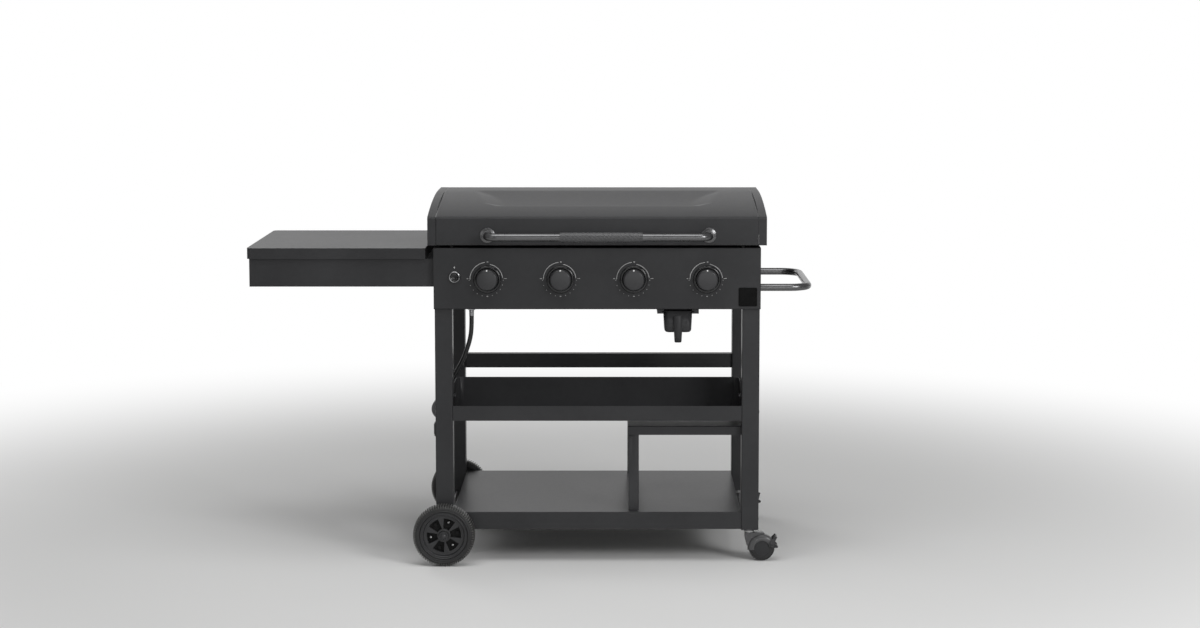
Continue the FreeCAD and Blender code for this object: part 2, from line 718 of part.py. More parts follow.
# Four straight tube burners, open to the nozzles in front and closed at the back
burners = []
for number, x in enumerate(KNOB_PLACES, start=1):
    y = "-" + TUB_FRONT + " - burner_out"
    burner_len = "cart_d / 2 - 2 * seat - sheet_t + " + TUB_FRONT + " + burner_out"
    outer = rod("burner_outer_%d" % number, "burner_r", burner_len, (x, y, "knob_z"), ALONG_Y)
    bore_len = burner_len + " - burner_wall"
    bore = rod("burner_bore_%d" % number, "burner_r - burner_wall", bore_len, (x, y, "knob_z"), ALONG_Y)
    burners.append(cut("burner_%d" % number, outer, bore))
node(group("burners", *burners), "burners")

# Gas manifold with an elbow down to the hose at its left end
pipe_len = "hose_x + 1.5 * knob_pitch + pipe_tail"
pipe = rod("pipe_outer", "pipe_r", pipe_len, ("-hose_x", "-" + PIPE_Y, "pipe_z"), ALONG_X)
elbow_foot = "hose_top + ferrule_high + union_high"
elbow = rod("pipe_elbow", "pipe_r", "pipe_z - (" + elbow_foot + ")", ("-hose_x", "-" + PIPE_Y, elbow_foot))
corner = doc.addObject("Part::Sphere", "pipe_corner")
bind(corner, "Radius", "pipe_r")
put(corner, ("-hose_x", "-" + PIPE_Y, "pipe_z"))
bore_r = "pipe_r - pipe_wall"
bore_len = pipe_len + " - 2 * pipe_wall"
pipe_bore = rod("pipe_bore", bore_r, bore_len, ("-hose_x", "-" + PIPE_Y, "pipe_z"), ALONG_X)
elbow_bore = rod("elbow_bore", bore_r, "pipe_z - hose_top", ("-hose_x", "-" + PIPE_Y, "hose_top"))
node(cut("gas_manifold", fuse("pipe_body", pipe, elbow, corner), pipe_bore, elbow_bore), "gas_manifold")

# Valve bodies behind the panel, each saddled on the manifold with a nozzle into its burner
valves = []
for number, x in enumerate(KNOB_PLACES, start=1):
    front = "(" + PANEL_FRONT + " + sheet_t + seat)"
    barrel = rod("valve_barrel_%d" % number, "valve_r", "valve_long", (x, front, "knob_z"), ALONG_Y)
    nozzle_at = (x, front + " + valve_long - over", "knob_z")
    nozzle = rod("valve_nozzle_%d" % number, "nozzle_r", "nozzle_long", nozzle_at, ALONG_Y)
    saddle_size = ("saddle_w", "saddle_w", "knob_z - pipe_z")
    saddle = centred("valve_saddle_%d" % number, saddle_size, (x, "-" + PIPE_Y, "pipe_z"))
    seat_at = (x + " - saddle_w", "-" + PIPE_Y, "pipe_z")
    seat_cut = rod("valve_seat_%d" % number, "pipe_r + seat", "2 * saddle_w", seat_at, ALONG_X)
    bore_at = (x, front + " - over", "knob_z")
    stem_bore = rod("valve_bore_%d" % number, "stem_r + run_fit", "valve_bore + over", bore_at, ALONG_Y)
    body = fuse("valve_body_%d" % number, barrel, nozzle, saddle)
    valves.append(cut("valve_%d" % number, body, seat_cut, stem_bore))
node(group("valve_bodies", *valves), "valve_bodies")

# Bezel rings round the knobs
rings = []
for number, x in enumerate(KNOB_PLACES, start=1):
    corners = [
        ("knob_r + bezel_gap", "0"),
        ("bezel_r", "0"),
        ("bezel_r", "bezel_high / 2"),
        ("bezel_r - bezel_edge", "bezel_high"),
        ("knob_r + bezel_gap", "bezel_high"),
    ]
    ring = turned("bezel_%d" % number, corners)
    rings.append(put(ring, (x, PANEL_FRONT, "knob_z"), TO_FRONT))
node(group("knob_bezels", *rings), "knob_bezels")

# Valve stems, which push in, and the knobs that turn on them
for number, x in enumerate(KNOB_PLACES, start=1):
    stem_len = "stem_root + knob_gap + knob_high - knob_cover - stem_gap"
    stem = rod("valve_stem_%d" % number, "stem_r", stem_len)
    node(stem, "valve_stem_%d" % number, (x, PANEL_FRONT + " + stem_root", "knob_z"), TO_FRONT)
    corners = [
        ("0", "knob_gap + knob_high - knob_cover"),
        ("stem_r + run_fit", "knob_gap + knob_high - knob_cover"),
        ("stem_r + run_fit", "knob_gap + knob_boss_low"),
        ("stem_r + knob_boss_w", "knob_gap + knob_boss_low"),
        ("stem_r + knob_boss_w", "knob_gap + knob_high - knob_wall - knob_dome"),
        ("knob_r - knob_wall", "knob_gap + knob_high - knob_wall - knob_dome"),
        ("knob_r - knob_wall", "knob_gap"),
        ("knob_r", "knob_gap"),
        ("knob_r - knob_draft", "knob_gap + knob_high - knob_edge - knob_draft"),
        ("knob_r - knob_edge", "knob_gap + knob_high - knob_draft"),
        ("0", "knob_gap + knob_high"),
    ]
    node(turned("knob_%d" % number, corners), "knob_%d" % number, (x, PANEL_FRONT, "knob_z"), TO_FRONT)

# Igniter: a barrel through the panel with its push button, and a spark electrode at each burner
barrel_wide = "-(panel_proud - sheet_t)"
corners = [
    ("button_r + run_fit", "collar_high"),
    ("spark_r - collar_edge", "collar_high"),
    ("spark_r", "collar_high - collar_edge"),
    ("spark_r", "0"),
    ("spark_r - collar_wall - seat", "0"),
    ("spark_r - collar_wall - seat", barrel_wide),
    ("barrel_r", barrel_wide),
    ("barrel_r", "-barrel_long"),
    ("0", "-barrel_long"),
    ("0", "-barrel_long + barrel_end"),
    ("button_stem_r + run_fit", "-barrel_long + barrel_end"),
    ("button_stem_r + run_fit", barrel_wide + " + barrel_step"),
    ("button_r + run_fit", barrel_wide + " + barrel_step"),
]
barrel = put(turned("igniter_barrel", corners), ("-spark_x", PANEL_FRONT, "spark_z"), TO_FRONT)
igniter_pieces = [barrel]
for number, x in enumerate(KNOB_PLACES, start=1):
    at = (x + " + 2 * burner_r", tub_y + " - spark_pin_out", "knob_z + spark_lift")
    igniter_pieces.append(rod("electrode_%d" % number, "spark_pin_r", "spark_pin_long", at, ALONG_Y))
node(group("igniter", *igniter_pieces), "igniter")
corners = [
    ("0", "button_out - button_deep - button_stem"),
    ("button_stem_r", "button_out - button_deep - button_stem"),
    ("button_stem_r", "button_out - button_deep"),
    ("button_r", "button_out - button_deep"),
    ("button_r", "button_out - button_edge"),
    ("button_r - button_edge", "button_out"),
    ("0", "button_out + button_dome"),
]
node(turned("igniter_button", corners), "igniter_button", ("-spark_x", PANEL_FRONT, "spark_z"), TO_FRONT)

# Rails that carry the grease cup under the panel
cup_front = "(" + PANEL_FRONT + " + 6)"
rail_long = "(cup_deep + 3)"
rail_parts = []
for side, sign in (("left", "-"), ("right", "+")):
    wide = "(rail_reach - cup_top_w) / 2"
    x = "cup_x " + sign + " (cup_top_w + rail_reach) / 4"
    outer_at = (x, cup_front + " + " + rail_long + " / 2", "panel_low - seat - rail_drop")
    outer = centred("cup_rail_outer_" + side, (wide, rail_long, "rail_drop"), outer_at)
    x = "cup_x " + sign + " (cup_top_w / 4 + cup_flange / 2)"
    slot_at = (x, cup_front + " + " + rail_long + " / 2 - 2", "panel_low - seat - rail_drop + 5")
    slot_size = ("cup_top_w / 2 + cup_flange", rail_long, "2 + 2 * seat")
    rail_parts.append(cut("cup_rail_" + side, outer, centred("cup_rail_slot_" + side, slot_size, slot_at)))
node(group("cup_rails", *rail_parts), "cup_rails")


def cup_form(name, inset, lift):
    """A tapered cup body from its foot to its rim, drawn in by the wall."""
    sections = []
    depth = value("cup_deep") - 2 * inset
    for share, width in ((0.0, value("cup_low_w")), (1.0, value("cup_top_w") - 4)):
        half = width / 2 - inset
        back = depth / 2 - (1 - share) * 3
        z = share * value("cup_high") + lift
        radius = 12.0 - inset
        points = [(-half, -back), (half, -back), (half, back), (-half, back)]
        sections.append(rounded_ring(points, radius, z))
    return Part.makeLoft(sections, True, True)


def rounded_ring(points, radius, z):
    """A rectangle with rounded corners as one closed wire."""
    edges = []
    count = len(points)
    spots = [FreeCAD.Vector(px, py, z) for px, py in points]
    for i in range(count):
        back = (spots[i - 1] - spots[i]).normalize()
        ahead = (spots[(i + 1) % count] - spots[i]).normalize()
        enter = spots[i] + back * radius
        leave = spots[i] + ahead * radius
        centre = enter + ahead * radius
        middle = centre + (spots[i] - centre).normalize() * radius
        following = spots[(i + 1) % count] - ahead * radius
        edges.append(Part.Arc(enter, middle, leave).toShape())
        edges.append(Part.LineSegment(leave, following).toShape())
    return Part.Wire(edges)


# Grease cup: a drawn cup with a flange that slides in the rails and a pull tab in front
cup_wall = value("cup_wall")
cup_outer = cup_form("cup_outer", 0.0, 0.0)
cup_inner = cup_form("cup_inner", cup_wall, cup_wall)
flange_t = 2.0
flange_half = value("cup_top_w") / 2 + value("cup_flange") - value("seat")
flange_depth = value("cup_deep")
flange_at = FreeCAD.Vector(-flange_half, -flange_depth / 2, value("cup_high") - flange_t)
flange = Part.makeBox(2 * flange_half, flange_depth, flange_t, flange_at)
tab_w = value("cup_tab_w")
tab_high = value("cup_high") + value("cup_tab_drop") - 14
tab_at = FreeCAD.Vector(-tab_w / 2, -flange_depth / 2 - 3, -value("cup_tab_drop"))
tab = Part.makeBox(tab_w, 2.0, tab_high, tab_at)
hook_at = FreeCAD.Vector(-tab_w / 2, -flange_depth / 2 - 3, value("cup_high") - 16)
hook = Part.makeBox(tab_w, 6.0, 2.0, hook_at)
cup_shape = cup_outer.fuse([flange, tab, hook]).cut(cup_inner).removeSplitter()
cup_z = "panel_low - seat - rail_drop + 5 + seat + 2 - cup_high"
node(made("grease_cup", cup_shape), "grease_cup", ("cup_x", cup_front + " + cup_deep / 2", cup_z))


def lid_profile(inset, open_low):
    """Side outline of the lid about its lower middle, drawn in by the sheet."""
    inner = " - " + inset
    half = "(" + LID_HALF_D + inner + ")"
    low = "-1" if open_low else "0"
    corners = []
    if open_low:
        turned_in = "-" + half + " + lip_in"
        corners += [(turned_in, low), (turned_in, "sheet_t"), ("-" + half, "sheet_t")]
    else:
        corners += [("-" + half, low)]
    corners += [
        ("-" + half, "skirt_high" + inner, "8" + inner),
        (CROWN_FRONT, "crown_high" + inner, "crown_r" + inner),
        (CROWN_BACK, "crown_high" + inner, "80" + inner),
        (half, "lid_back_high" + inner, "50" + inner),
        (half, low),
    ]
    return corners


def crown_height(y):
    """Height of the crown above the lid's lower edge, on its long arc or on the flat behind it."""
    top = value("crown_high")
    corner = value(CROWN_FRONT)
    climb = math.atan2(top - value("skirt_high"), corner + value(LID_HALF_D))
    arc_end = corner + value("crown_r") * math.tan(climb / 2)
    short = max(0.0, arc_end - y)
    return top - value("crown_r") + math.sqrt(value("crown_r") ** 2 - short ** 2)


def dish_tool(drop, widen):
    """The dished panel pressed into the crown: deep behind its front crease, then a flat floor and
    two even side slopes that run out where the crown has risen to the floor."""
    front = value(CROWN_FRONT) - value("crown_rise") + value("dish_start")
    half = value(DISH_HALF)
    steep = value("dish_deep") / value("dish_wall")
    floor_y = front + value("dish_lip")
    end_y = front + value("dish_long")
    floor_front = crown_height(floor_y) - value("dish_deep")
    rise = (crown_height(end_y) - floor_front) / (end_y - floor_y)
    cut_in = value("dish_cut")
    stations = [
        (front, half - cut_in),
        (floor_y, half - cut_in * (1 - value("dish_lip") / value("dish_corner"))),
        (front + value("dish_corner"), half),
        ((front + value("dish_corner") + end_y) / 2, half + value("dish_flare") / 2),
        (end_y, half + value("dish_flare")),
    ]
    sections = []
    for y, outer in stations:
        surface = crown_height(y)
        sink = 0.1 if y == front else max(0.1, surface - floor_front - rise * (y - floor_y))
        inner = outer - sink / steep
        above = value("crown_high") + value("skirt_high")
        edge = -outer - widen
        points = [(edge, above), (edge, surface - drop), (-inner - widen, surface - sink - drop)]
        points += [(-across, up) for across, up in reversed(points)]
        ring = [FreeCAD.Vector(across, y, up) for across, up in points]
        sections.append(Part.makePolygon(ring + ring[:1]))
    return Part.makeLoft(sections, True, True)


# Lid shell: folded front, low crown and rounded back, with the dished panel in its top
shell_half = "(lid_w / 2 - cap_w)"
crown_outer = padded("crown_outer", "YZ_Plane", lid_profile("0", False), "2 * " + shell_half, "-" + shell_half)
hollow_w = "2 * " + shell_half + " + 2 * over"
hollow_x = "-" + shell_half + " - over"
crown_inner = padded("crown_inner", "YZ_Plane", lid_profile("sheet_t", True), hollow_w, hollow_x)
dish_outer = made("dish_outer", dish_tool(0.0, 0.0))
dish_inner = made("dish_inner", dish_tool(value("sheet_t"), value("sheet_t")))
pressed_outer = cut("pressed_outer", crown_outer, dish_outer)
pressed_inner = cut("pressed_inner", crown_inner, dish_inner)
node(cut("lid_shell", pressed_outer, pressed_inner), "lid_shell", ("0", "0", LID_LOW))

# Lid end caps, which carry the same outline round the ends
caps = []
for side, start in (("left", "-lid_w / 2"), ("right", shell_half + " + seat")):
    outer = padded("cap_outer_" + side, "YZ_Plane", lid_profile("0", False), "cap_w - seat", start)
    hollow_start = start + (" + sheet_t" if side == "left" else " - sheet_t")
    inner = padded("cap_inner_" + side, "YZ_Plane", lid_profile("sheet_t", True), "cap_w - seat", hollow_start)
    caps.append(cut("lid_cap_" + side, outer, inner))
node(group("lid_end_caps", *caps), "lid_end_caps", ("0", "0", LID_LOW))

# Lid handle: a bent tube with a thicker grip sleeve, on two round roses
bar_z = value(LID_LOW) + value("bar_up")
lid_face = -value(LID_HALF_D)
bar_y = lid_face - value("bar_out")
bar_left = value("bar_shift - bar_half")
bar_right = value("bar_shift + bar_half")
rose_face = lid_face - value("rose_t") - value("seat")
bend = value("bar_bend")
bar_points = [
    FreeCAD.Vector(bar_left, rose_face, bar_z),
    FreeCAD.Vector(bar_left, bar_y, bar_z),
    FreeCAD.Vector(bar_right, bar_y, bar_z),
    FreeCAD.Vector(bar_right, rose_face, bar_z),
]
node(made("lid_handle_bar", tube_along(bar_points, [bend, bend], value("bar_r"))), "lid_handle_bar")
sleeve = rod("grip_outer", "grip_r", "2 * grip_half")
sleeve_bore = rod("grip_bore", "bar_r + run_fit", "2 * grip_half + 2", ("0", "0", "-1"))
grip_at = ("grip_shift - grip_half", "-" + LID_HALF_D + " - bar_out", LID_LOW + " + bar_up")
node(cut("lid_handle_grip", sleeve, sleeve_bore), "lid_handle_grip", grip_at, ALONG_X)
roses = []
for side, x in (("left", "bar_shift - bar_half"), ("right", "bar_shift + bar_half")):
    rim = [("rose_r", "0"), ("rose_r", "rose_t / 2"), ("rose_r - rose_edge", "rose_t")]
    corners = [("0", "0")] + rim + [("0", "rose_t")]
    rose = turned("rose_" + side, corners)
    roses.append(put(rose, (x, "-" + LID_HALF_D + " - seat", LID_LOW + " + bar_up"), TO_FRONT))
node(group("lid_handle_roses", *roses), "lid_handle_roses")

# Lid hinges: ears and pins on the rear panel, and knuckled leaves on the lid
bases = []
leaves = []
for side, x in (("left", "-hinge_x"), ("right", "hinge_x")):
    foot_size = ("hinge_w", "hinge_ear", "hinge_foot")
    foot_at = (x, PANEL_BACK + " + seat + hinge_ear / 2", HINGE_Z + " - hinge_drop")
    foot = centred("hinge_foot_" + side, foot_size, foot_at)
    arms = [foot]
    holes = []
    for edge, shift in (("a", " - hinge_w / 2"), ("b", " + hinge_w / 2 - hinge_ear")):
        eye = rod("hinge_eye_" + side + edge, "hinge_r", "hinge_ear", (x + shift, HINGE_Y, HINGE_Z), ALONG_X)
        arm_corners = [
            (PANEL_BACK + " + seat", HINGE_Z + " - hinge_drop"),
            (HINGE_Y + " - hinge_r / 2", HINGE_Z + " - hinge_drop"),
            (HINGE_Y + " + hinge_r", HINGE_Z + " - 2"),
            (HINGE_Y + " - hinge_r + 0.6", HINGE_Z + " - 2"),
            (PANEL_BACK + " + seat", HINGE_Z + " - 20"),
        ]
        arm = padded("hinge_arm_" + side + edge, "YZ_Plane", arm_corners, "hinge_ear", x + shift)
        arms += [eye, arm]
    hole_at = (x + " - hinge_w", HINGE_Y, HINGE_Z)
    hole = rod("hinge_hole_" + side, "hinge_pin_r + run_fit", "2 * hinge_w", hole_at, ALONG_X)
    bases.append(cut("hinge_base_" + side, fuse("hinge_arms_" + side, *arms), hole))
    pin_at = (x + " - hinge_w / 2 - 3", HINGE_Y, HINGE_Z)
    bases.append(rod("hinge_pin_" + side, "hinge_pin_r", "hinge_w + 6", pin_at, ALONG_X))
    knuckle_len = "hinge_w - 2 * hinge_ear - 4 * seat"
    knuckle_at = (x + " - (" + knuckle_len + ") / 2", HINGE_Y, HINGE_Z)
    knuckle = rod("hinge_knuckle_" + side, "hinge_r", knuckle_len, knuckle_at, ALONG_X)
    leaf_at = (x, LID_HALF_D + " + seat + hinge_ear / 2", HINGE_Z + " - hinge_rise / 2")
    leaf = centred("hinge_leaf_" + side, (knuckle_len, "hinge_ear", "leaf_high"), leaf_at)
    web_at = (x, "(" + LID_HALF_D + " + " + HINGE_Y + ") / 2", HINGE_Z + " + 0.5")
    web = centred("hinge_web_" + side, (knuckle_len, "hinge_out - 1", "4"), web_at)
    bore_at = (x + " - hinge_w / 2", HINGE_Y, HINGE_Z)
    bore = rod("hinge_bore_" + side, "hinge_pin_r + run_fit", "hinge_w", bore_at, ALONG_X)
    leaves.append(cut("hinge_leaves_" + side, fuse("hinge_plate_" + side, knuckle, leaf, web), bore))
node(group("hinge_bases", *bases), "hinge_bases")
node(group("hinge_leaves", *leaves), "hinge_leaves")

# Rubber buffers under the front lip of the lid
buffers = []
for side, x in (("left", "-bar_half - 100"), ("right", "bar_half + 100")):
    at = (x, "-" + LID_HALF_D + " + lip_in - 5", "panel_top + seat")
    buffers.append(rod("buffer_" + side, "4.5", "lid_gap - 2 * seat", at))
node(group("lid_buffers", *buffers), "lid_buffers")

# Side shelf: a folded top with rounded outer corners, on an apron frame bolted to the body
shelf_left = "-" + SHELF_END
shelf_right = "(-" + BODY_HALF + " - shelf_gap)"
shelf_front = "(-cart_d / 2)"
shelf_back = "(-cart_d / 2 + shelf_deep)"


def shelf_corners(inset):
    left = "(" + shelf_left + " + " + inset + ")"
    right = "(" + shelf_right + " - " + inset + ")"
    front = "(" + shelf_front + " + " + inset + ")"
    back = "(" + shelf_back + " - " + inset + ")"
    corner = "shelf_corner - " + inset
    return [(left, front, corner), (right, front), (right, back), (left, back, corner)]


shelf_z = "panel_top - sheet_t - shelf_lip"
shelf_outer = padded("shelf_outer", "XY_Plane", shelf_corners("0"), "shelf_lip", shelf_z)
shelf_hollow = shelf_corners("sheet_t")
shelf_inner = padded("shelf_inner", "XY_Plane", shelf_hollow, "shelf_lip", shelf_z + " - sheet_t")
node(cut("side_shelf_top", shelf_outer, shelf_inner), "side_shelf_top")

apron_z = "(panel_top - sheet_t - shelf_lip - apron_high)"
apron_left = "(" + shelf_left + " + apron_in + sheet_t)"
apron_len = "-" + BODY_HALF + " - seat - " + apron_left
apron_d = "shelf_deep - 2 * apron_in - 2 * sheet_t"
apron_at = (apron_left, shelf_front + " + apron_in + sheet_t", apron_z)
apron_top = "apron_high + shelf_lip - sheet_t - seat"
apron_outer = block("apron_outer", (apron_len, apron_d, apron_top), apron_at)
apron_hollow_size = (apron_len + " - 2 * sheet_t", apron_d + " - 2 * sheet_t", "300")
apron_hollow_at = (apron_left + " + sheet_t", shelf_front + " + apron_in + 2 * sheet_t", apron_z + " - 5")
apron_inner = block("apron_inner", apron_hollow_size, apron_hollow_at)
step_size = ("shelf_gap + 6", "shelf_deep + 20", "shelf_lip + 20")
step_at = (shelf_right + " - sheet_t - seat", shelf_front + " - 10", "panel_top - shelf_lip - sheet_t")
apron_step = block("apron_step", step_size, step_at)
node(cut("side_shelf_apron", apron_outer, apron_inner, apron_step), "side_shelf_apron")

# Push handle on the right: one bent tube on two flanges
push_x = "(" + BODY_HALF + " + seat + flange_t)"
push_end = value(HANDLE_END) - value("push_r")
push_bend = value("push_bend")
push_z = value("push_z")
push_half = value("push_half")
push_points = [
    FreeCAD.Vector(value(push_x) + value("seat"), -push_half, push_z),
    FreeCAD.Vector(push_end, -push_half, push_z),
    FreeCAD.Vector(push_end, push_half, push_z),
    FreeCAD.Vector(value(push_x) + value("seat"), push_half, push_z),
]
node(made("push_handle", tube_along(push_points, [push_bend, push_bend], value("push_r"))), "push_handle")
flanges = []
for end, y in (("front", "-push_half"), ("rear", "push_half")):
    flange_at = (BODY_HALF + " + seat", y, "push_z")
    flanges.append(rod("flange_" + end, "flange_r", "flange_t", flange_at, ALONG_X))
node(group("handle_flanges", *flanges), "handle_flanges")

# Axle, spacers and end nuts
axle_len = "2 * " + BACK_END + " - 4"
node(rod("axle_rod", "axle_r", axle_len), "axle_rod", ("-" + LEG_X, "-" + BACK_END + " + 2", "axle_z"), ALONG_Y)
hardware = []
for end, sign in (("front", "-"), ("rear", "")):
    low = "cart_d / 2 + seat"
    spacer_len = "wheel_gap - 2 * seat"
    start = sign + "(" + low + ")" + (" - (" + spacer_len + ")" if sign else "")
    spacer = rod("spacer_body_" + end, "axle_r + 4", spacer_len, ("-" + LEG_X, start, "axle_z"), ALONG_Y)
    bore_at = ("-" + LEG_X, start + " - over", "axle_z")
    bore = rod("spacer_bore_" + end, "axle_r + run_fit", "2 * wheel_gap", bore_at, ALONG_Y)
    hardware.append(cut("spacer_" + end, spacer, bore))
    nut_low = "cart_d / 2 + wheel_gap + wheel_w + seat"
    nut_len = "nut_high - seat"
    start = sign + "(" + nut_low + ")" + (" - (" + nut_len + ")" if sign else "")
    cap = rod("nut_body_" + end, "nut_r", nut_len, ("-" + LEG_X, start, "axle_z"), ALONG_Y)
    bore_start = "-(" + nut_low + " + nut_high - 2)" if sign else nut_low + " - 5"
    bore = rod("nut_bore_" + end, "axle_r + run_fit", "nut_high + 3", ("-" + LEG_X, bore_start, "axle_z"), ALONG_Y)
    hardware.append(cut("axle_nut_" + end, cap, bore))
node(group("axle_hardware", *hardware), "axle_hardware")

# Wheels: a moulded disc with six pockets between its spokes, and a tyre with two rows of lugs
LUGS = 56
WINDOWS = 6
WINDOW_TURN = 10.0
WINDOW_NEAR = 13.0
WINDOW_FAR = 17.0
for end, sign, turn in (("front", "-", TO_FRONT), ("rear", "", ALONG_Y)):
    half = "wheel_w / 2"
    disc_corners = [
        ("axle_r + run_fit", "-" + half),
        ("hub_r", "-" + half),
        ("hub_r", "-5"),
        ("rim_r - 9", "-5"),
        ("rim_r - 9", "-" + half + " + 3"),
        ("rim_r - seat", "-" + half + " + 3"),
        ("rim_r - seat", half + " - 3"),
        ("rim_r - 9", half + " - 3"),
        ("rim_r - 12", "8"),
        ("hub_r", "10"),
        ("hub_r", half),
        ("axle_r + run_fit", half),
    ]
    disc = turned("wheel_disc_" + end, disc_corners)
    windows = []
    for number in range(WINDOWS):
        angle = math.radians(WINDOW_TURN + 360 * number / WINDOWS)
        near = value("window_in")
        far = value("window_out")
        floor = value("rib_face") - value("window_deep")
        ring = []
        left = ((near, -WINDOW_NEAR), (far, -WINDOW_FAR))
        right = ((far, WINDOW_FAR), (near, WINDOW_NEAR))
        for radius, swing in left + right:
            bearing = angle + math.radians(swing)
            ring.append(FreeCAD.Vector(radius * math.cos(bearing), radius * math.sin(bearing), floor))
        face = Part.Face(Part.makePolygon(ring + ring[:1]))
        pocket = face.extrude(FreeCAD.Vector(0, 0, value("wheel_w")))
        least = value("wheel_w") / 2
        upright = [edge for edge in pocket.Edges
                   if abs(edge.Vertexes[0].Z - edge.Vertexes[-1].Z) > least]
        windows.append(pocket.makeFillet(value("window_corner"), upright))
    window_tool = made("wheel_windows_" + end, Part.makeCompound(windows))
    wheel_at = ("-" + LEG_X, sign + WHEEL_Y, "axle_z")
    node(cut("wheel_hub_" + end, disc, window_tool), "wheel_hub_" + end, wheel_at, turn)
    tyre_corners = [
        ("rim_r", "-" + half + " + 2"),
        ("rim_r + 3", "-" + half),
        ("wheel_r - 7", "-" + half),
        ("wheel_r - lug_high", "-" + half + " + 6"),
        ("wheel_r - lug_high", half + " - 6"),
        ("wheel_r - 7", half),
        ("rim_r + 3", half),
        ("rim_r", half + " - 2"),
    ]
    carcass = turned("tyre_body_" + end, tyre_corners)
    tread = []
    outer = value("wheel_r")
    width = value("wheel_w") / 2 - 5
    lug_low = outer - value("lug_high") - 2
    lug_w = value("lug_w")
    for number in range(LUGS):
        angle = 360.0 * number / LUGS
        side = -width if number % 2 else 0
        lug = Part.makeBox(outer - lug_low, lug_w, width, FreeCAD.Vector(lug_low, -lug_w / 2, side))
        lug.rotate(FreeCAD.Vector(), FreeCAD.Vector(0, 0, 1), angle)
        tread.append(lug)
    tread_limit = Part.makeCylinder(outer, value("wheel_w"), FreeCAD.Vector(0, 0, -value("wheel_w") / 2))
    lugs = Part.makeCompound([lug.common(tread_limit) for lug in tread])
    node(fuse("tyre_" + end, carcass, made("tyre_lugs_" + end, lugs)), "tyre_" + end, wheel_at, turn)

# Casters: plate and stem in the leg, forked swivel, wheel and brake pedal. The front fork points
# to the right and the rear one is swung half way to the back, as they came to rest.
SWIVEL = {"front": "0", "rear": "rear_swivel"}


def swung(end):
    """The turn of a caster about its upright stem."""
    return FreeCAD.Rotation(FreeCAD.Vector(0, 0, 1), value(SWIVEL[end]))


def along_fork(end, reach):
    """X and Y of a place this far along a caster's fork from its stem."""
    way = "-" if end == "front" else ""
    bearing = SWIVEL[end] + " * 1deg"
    x = LEG_X + " + (" + reach + ") * cos(" + bearing + ")"
    y = way + LEG_Y + " + (" + reach + ") * sin(" + bearing + ")"
    return x, y


plates = []
for end, way in (("front", "-"), ("rear", "")):
    y = way + LEG_Y
    top = "caster_leg_end - seat"
    flat = centred("caster_flat_" + end, ("leg_w", "leg_w", "3"), (LEG_X, y, top + " - 3"))
    inside_w = "leg_w - 2 * leg_wall - 6 * seat"
    spigot = centred("caster_spigot_" + end, (inside_w, inside_w, "plug_depth"), (LEG_X, y, top + " - 1"))
    stem = rod("caster_stem_" + end, "swivel_r", "14", (LEG_X, y, top + " - 3 - 12"))
    plates.append(fuse("caster_plate_" + end, flat, spigot, stem))
node(group("caster_plates", *plates), "caster_plates")

